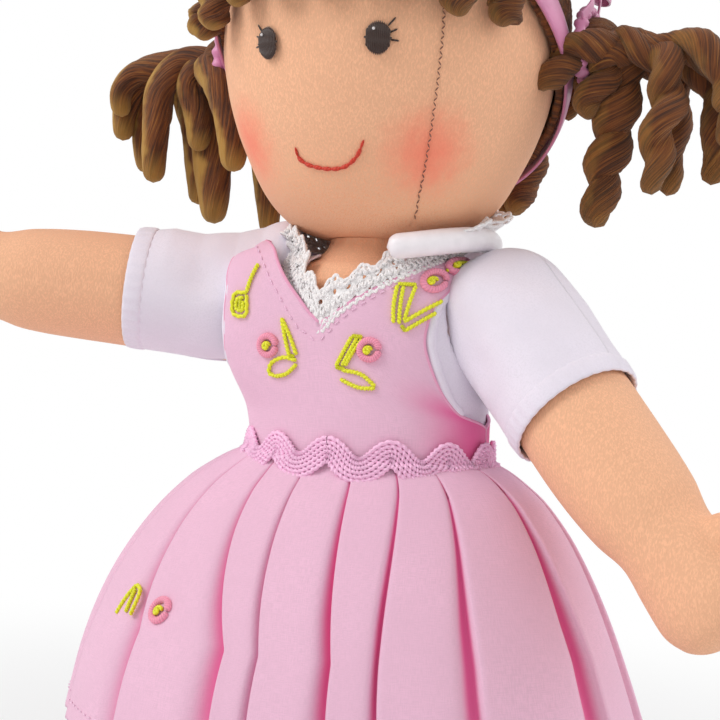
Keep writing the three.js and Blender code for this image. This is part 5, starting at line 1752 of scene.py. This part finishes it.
def make_sock_and_shoe(name, side, pivot, body):
    middle = np.array([pivot[0], FOOT_BACK, SOLE_TOP + 8.5])
    sock = foot_and_ankle(f"{name}_sock_cloth", middle, np.array(FOOT_HALF), ANKLE_RADIUS, 10, 39, pivot)
    points = corners(sock)
    points[:, 2] = np.maximum(points[:, 2], (SOLE_TOP + 0.7) * MM)
    around = np.arctan2(points[:, 1] - pivot[1] * MM, points[:, 0] - pivot[0] * MM - AXIS_X)
    out = points[:, :2] - (pivot[0] * MM + AXIS_X, 0)
    ribs = np.clip((points[:, 2] / MM - 28) / 3, 0, 1) * 0.016 * np.abs(np.sin(around * 22))
    points[:, :2] += out * ribs[:, None]
    move_corners(sock, points)
    finish_piece(sock, "cotton", body, "white_cotton", f"{name}_sock")
    sock_top = [pivot + (10 * math.cos(t), 10 * math.sin(t), SOCK_HEIGHT - HIP_HEIGHT)
                for t in np.linspace(0, TAU, 40)]
    sewn(f"{name}_sock_cuff", [np.array(sock_top)], 0.75, "cotton", body, "white_cotton", sides=10, steps=60)


    def upper_shape(across, along):
        turn = across * TAU
        off_front = np.degrees(np.abs(np.pi - np.abs(turn - np.pi)))
        rim = eased(SHOE_RIM, off_front)[0]
        sine = np.sin(np.clip(along / 0.94, 0, 1) * np.pi / 2)
        cosine = np.cos(np.clip(along / 0.94, 0, 1) * np.pi / 2) ** 0.8
        base_x, base_y = 11.4 * np.sin(turn), -18.7 * np.cos(turn) + FOOT_BACK
        top_x, top_y = 10.9 * np.sin(turn), -14.0 * np.cos(turn) - 3.6
        x = top_x + (base_x - top_x) * cosine
        y = top_y + (base_y - top_y) * cosine
        x = x * (1 + 0.05 * np.sin(np.pi * along))
        z = SOLE_TOP + 0.3 + (rim - SOLE_TOP - 0.3) * sine
        return xyz(x + pivot[0], y, z)
    upper = shaped_grid(f"{name}_shoe_felt", 96, 26, upper_shape, middle=(pivot[0], -5, 9))
    thicken(upper, 1.2, levels=1)
    finish_piece(upper, "felt", body, "shoe_felt", f"{name}_shoe_upper")
    ways = np.linspace(0, 1, 200)
    edge = upper_shape(ways, 0 * ways + 0.86)
    edge[:, :2] = (edge[:, :2] - (pivot[0], -4)) * 1.07 + (pivot[0], -4)
    sewn(f"{name}_shoe_stitch", stitches_along(edge, 1.6, 1.1), 0.22, "glint", body, "shoe_felt")

    # Sole: a disc drawn out to the foot's outline, with its edges bevelled
    deselect()
    bpy.ops.mesh.primitive_cylinder_add(vertices=72, radius=1, depth=1)
    sole = bpy.context.object
    sole.name = sole.data.name = f"{name}_shoe_sole_leather"
    form = corners(sole) * (SOLE_HALF_WIDTH, SOLE_HALF_LENGTH, SOLE_TOP)
    waist = 1 - 0.06 * np.exp(-((form[:, 1] - 3) / 6) ** 2)
    form[:, 0] *= waist
    move_corners(sole, in_frame(form + (pivot[0], FOOT_BACK, SOLE_TOP / 2)))
    change(sole, "BEVEL", width=0.6 * MM, segments=3, limit_method="ANGLE")
    face_out(sole)
    finish_piece(sole, "sole", body, "shoe_sole", f"{name}_shoe_sole")
    keep_edges(sole)

    def strap_shape(across, along):
        turn = np.radians(-190 + 200 * along)
        round_it = across * TAU
        out = STRAP_RADIUS + 0.62 * squared_off(np.cos(round_it), 0.6)
        z = STRAP_HEIGHT + 2.0 * squared_off(np.sin(round_it), 0.6)
        z = STRAP_HEIGHT + (z - STRAP_HEIGHT) * closing(along, 0.012)
        out = STRAP_RADIUS + (out - STRAP_RADIUS) * closing(along, 0.012)
        return turned(out, turn, z) + (pivot[0], 0, 0)
    strap = shaped_grid(f"{name}_strap_felt", 20, 80, strap_shape)
    finish_piece(strap, "felt", body, "shoe_felt", f"{name}_shoe_strap")
    node = f"{name}_shoe_button"
    make_button(f"{node}_pearl", node_middle(node), (side, 0, 0), 2.0, 1.5, body, node)


# Stage

def make_stage():
    scene = bpy.context.scene
    scene.view_settings.view_transform = "Standard"
    turn, rise = math.radians(CAMERA_AZIMUTH), math.radians(CAMERA_ELEVATION)
    right = np.array([math.cos(turn), math.sin(turn), 0])
    back = Vector((math.sin(turn) * math.cos(rise), -math.cos(turn) * math.cos(rise), math.sin(rise)))
    target = in_frame(np.array([0, 0, CAMERA_HEIGHT]) + right * CAMERA_ASIDE)
    deselect()
    bpy.ops.object.camera_add(location=target + np.array(back) * CAMERA_DISTANCE * MM)
    camera = bpy.context.object
    camera.name = "photo_camera"
    look = (-back).to_track_quat("-Z", "Y").to_matrix()
    camera.rotation_euler = (look @ Euler((0, 0, math.radians(CAMERA_ROLL))).to_matrix()).to_euler()
    camera.data.lens, camera.data.sensor_width = CAMERA_LENS, 36
    camera.data.clip_start = 0.01
    scene.camera = camera

    for name, place, size, power in LAMPS:
        deselect()
        bpy.ops.object.light_add(type="AREA", location=place)
        light = bpy.context.object
        light.name, light.data.size, light.data.energy = name, size, power
        aim = Vector((0, 0, LIT_HEIGHT)) - Vector(place)
        light.rotation_euler = aim.to_track_quat("-Z", "Y").to_euler()

    world = bpy.data.worlds.new("Studio")
    scene.world = world
    world.use_nodes = True
    nodes, links = world.node_tree.nodes, world.node_tree.links
    room = nodes["Background"]
    room.inputs["Color"].default_value = (1, 1, 1, 1)
    room.inputs["Strength"].default_value = ROOM_LIGHT
    seen = nodes.new("ShaderNodeBackground")
    rays = nodes.new("ShaderNodeLightPath")
    either = nodes.new("ShaderNodeMath")
    either.operation = "MAXIMUM"
    mixed = nodes.new("ShaderNodeMixShader")
    seen.inputs["Color"].default_value = (1, 1, 1, 1)
    for source, target in (
            (rays.outputs["Is Camera Ray"], either.inputs[0]),
            (rays.outputs["Is Glossy Ray"], either.inputs[1]),
            (either.outputs[0], mixed.inputs[0]), (room.outputs[0], mixed.inputs[1]),
            (seen.outputs[0], mixed.inputs[2]),
            (mixed.outputs[0], nodes["World Output"].inputs["Surface"])):
        links.new(source, target)

    deselect()
    bpy.ops.mesh.primitive_plane_add(size=FLOOR_SIZE)
    floor = bpy.context.object
    floor.name = "studio_floor"
    f = Finish("Studio floor", 0.9)
    f.done(FLOOR_SHADE)
    glow = f.add("Emission", {"Color": (1, 1, 1), "Strength": 1.0})
    away = f.add("VectorMath", operation="LENGTH")
    f.tree.links.new(f.place, away.inputs[0])
    far = f.between(away.outputs["Value"], *FLOOR_FADE)
    rays = f.add("LightPath")
    seen = f.math("MAXIMUM", rays.outputs["Is Camera Ray"], rays.outputs["Is Glossy Ray"])
    seen = f.times(seen, far)
    both = f.add("MixShader")
    f.tree.links.new(seen, both.inputs[0])
    f.tree.links.new(f.shader.outputs[0], both.inputs[1])
    f.tree.links.new(glow.outputs[0], both.inputs[2])
    f.tree.links.new(both.outputs[0], f.tree.nodes["Material Output"].inputs["Surface"])
    floor.data.materials.append(f.material)


# Operators, panel and running

class DollOperator:
    bl_options = {"REGISTER", "UNDO"}

    def execute(self, context):
        self.make()
        return {"FINISHED"}


class DOLL_OT_stage(DollOperator, bpy.types.Operator):
    """Camera, lamps, white room and floor"""
    bl_idname, bl_label = "doll.stage", "Stage"

    def make(self):
        make_stage()


class DOLL_OT_body(DollOperator, bpy.types.Operator):
    """Stuffed torso and neck"""
    bl_idname, bl_label = "doll.body", "Body"

    def make(self):
        make_torso()


class DOLL_OT_head(DollOperator, bpy.types.Operator):
    """Stuffed head with its cheek seam, stitched eyes and smile"""
    bl_idname, bl_label = "doll.head", "Head and face"

    def make(self):
        make_head()
        make_face()


class DOLL_OT_hair(DollOperator, bpy.types.Operator):
    """Cap of yarn, hairband, fringe, nape ringlets, side bunches and bows"""
    bl_idname, bl_label = "doll.hair", "Hair"

    def make(self):
        make_cap()
        make_fringe_and_nape()
        make_bunches()


class DOLL_OT_arms(DollOperator, bpy.types.Operator):
    """Stuffed arms, puffed sleeves and their turned hems"""
    bl_idname, bl_label = "doll.arms", "Arms and sleeves"

    def make(self):
        for name, side in SIDES:
            make_arm(name, side)
            make_sleeve(name, side)


class DOLL_OT_dress(DollOperator, bpy.types.Operator):
    """Jersey top, bodice, pleated skirt, wavy braid, embroidery and back buttons"""
    bl_idname, bl_label = "doll.dress", "Dress"

    def make(self):
        make_jersey_top()
        make_bodice()
        make_skirt()
        make_braid()
        make_embroidery()
        make_buttons()


class DOLL_OT_collar(DollOperator, bpy.types.Operator):
    """Crocheted neckline and frill, and the rolled satin collar"""
    bl_idname, bl_label = "doll.collar", "Lace and collar"

    def make(self):
        make_neck_lace()
        make_frill()
        make_collar_roll()


class DOLL_OT_legs(DollOperator, bpy.types.Operator):
    """Bloomers, stuffed legs, socks and shoes"""
    bl_idname, bl_label = "doll.legs", "Bloomers, legs and shoes"

    def make(self):
        make_bloomer_seat()
        for name, side in SIDES:
            make_leg(name, side)


OPERATORS = (DOLL_OT_stage, DOLL_OT_body, DOLL_OT_head, DOLL_OT_hair, DOLL_OT_arms, DOLL_OT_dress,
             DOLL_OT_collar, DOLL_OT_legs)


class DOLL_PT_sidebar(bpy.types.Panel):
    """Settings of the doll and a button for each group of its pieces"""
    bl_idname, bl_label = "DOLL_PT_sidebar", "Cloth doll"
    bl_space_type, bl_region_type, bl_category = "VIEW_3D", "UI", "Cloth doll"

    def draw(self, context):
        for settings in (context.scene.doll_colours, context.scene.doll_sizes):
            for name in settings.__annotations__:
                self.layout.prop(settings, name)
        for operator in OPERATORS:
            self.layout.operator(operator.bl_idname)


CLASSES = (DollColours, DollSizes, *OPERATORS, DOLL_PT_sidebar)


def register():
    for kind in CLASSES:
        bpy.utils.register_class(kind)
    bpy.types.Scene.doll_colours = bpy.props.PointerProperty(type=DollColours)
    bpy.types.Scene.doll_sizes = bpy.props.PointerProperty(type=DollSizes)


def unregister():
    del bpy.types.Scene.doll_colours, bpy.types.Scene.doll_sizes
    for kind in reversed(CLASSES):
        bpy.utils.unregister_class(kind)


def main():
    register()
    for operator in OPERATORS:
        group, name = operator.bl_idname.split(".")
        getattr(getattr(bpy.ops, group), name)()


if __name__ == "__main__":
    main()
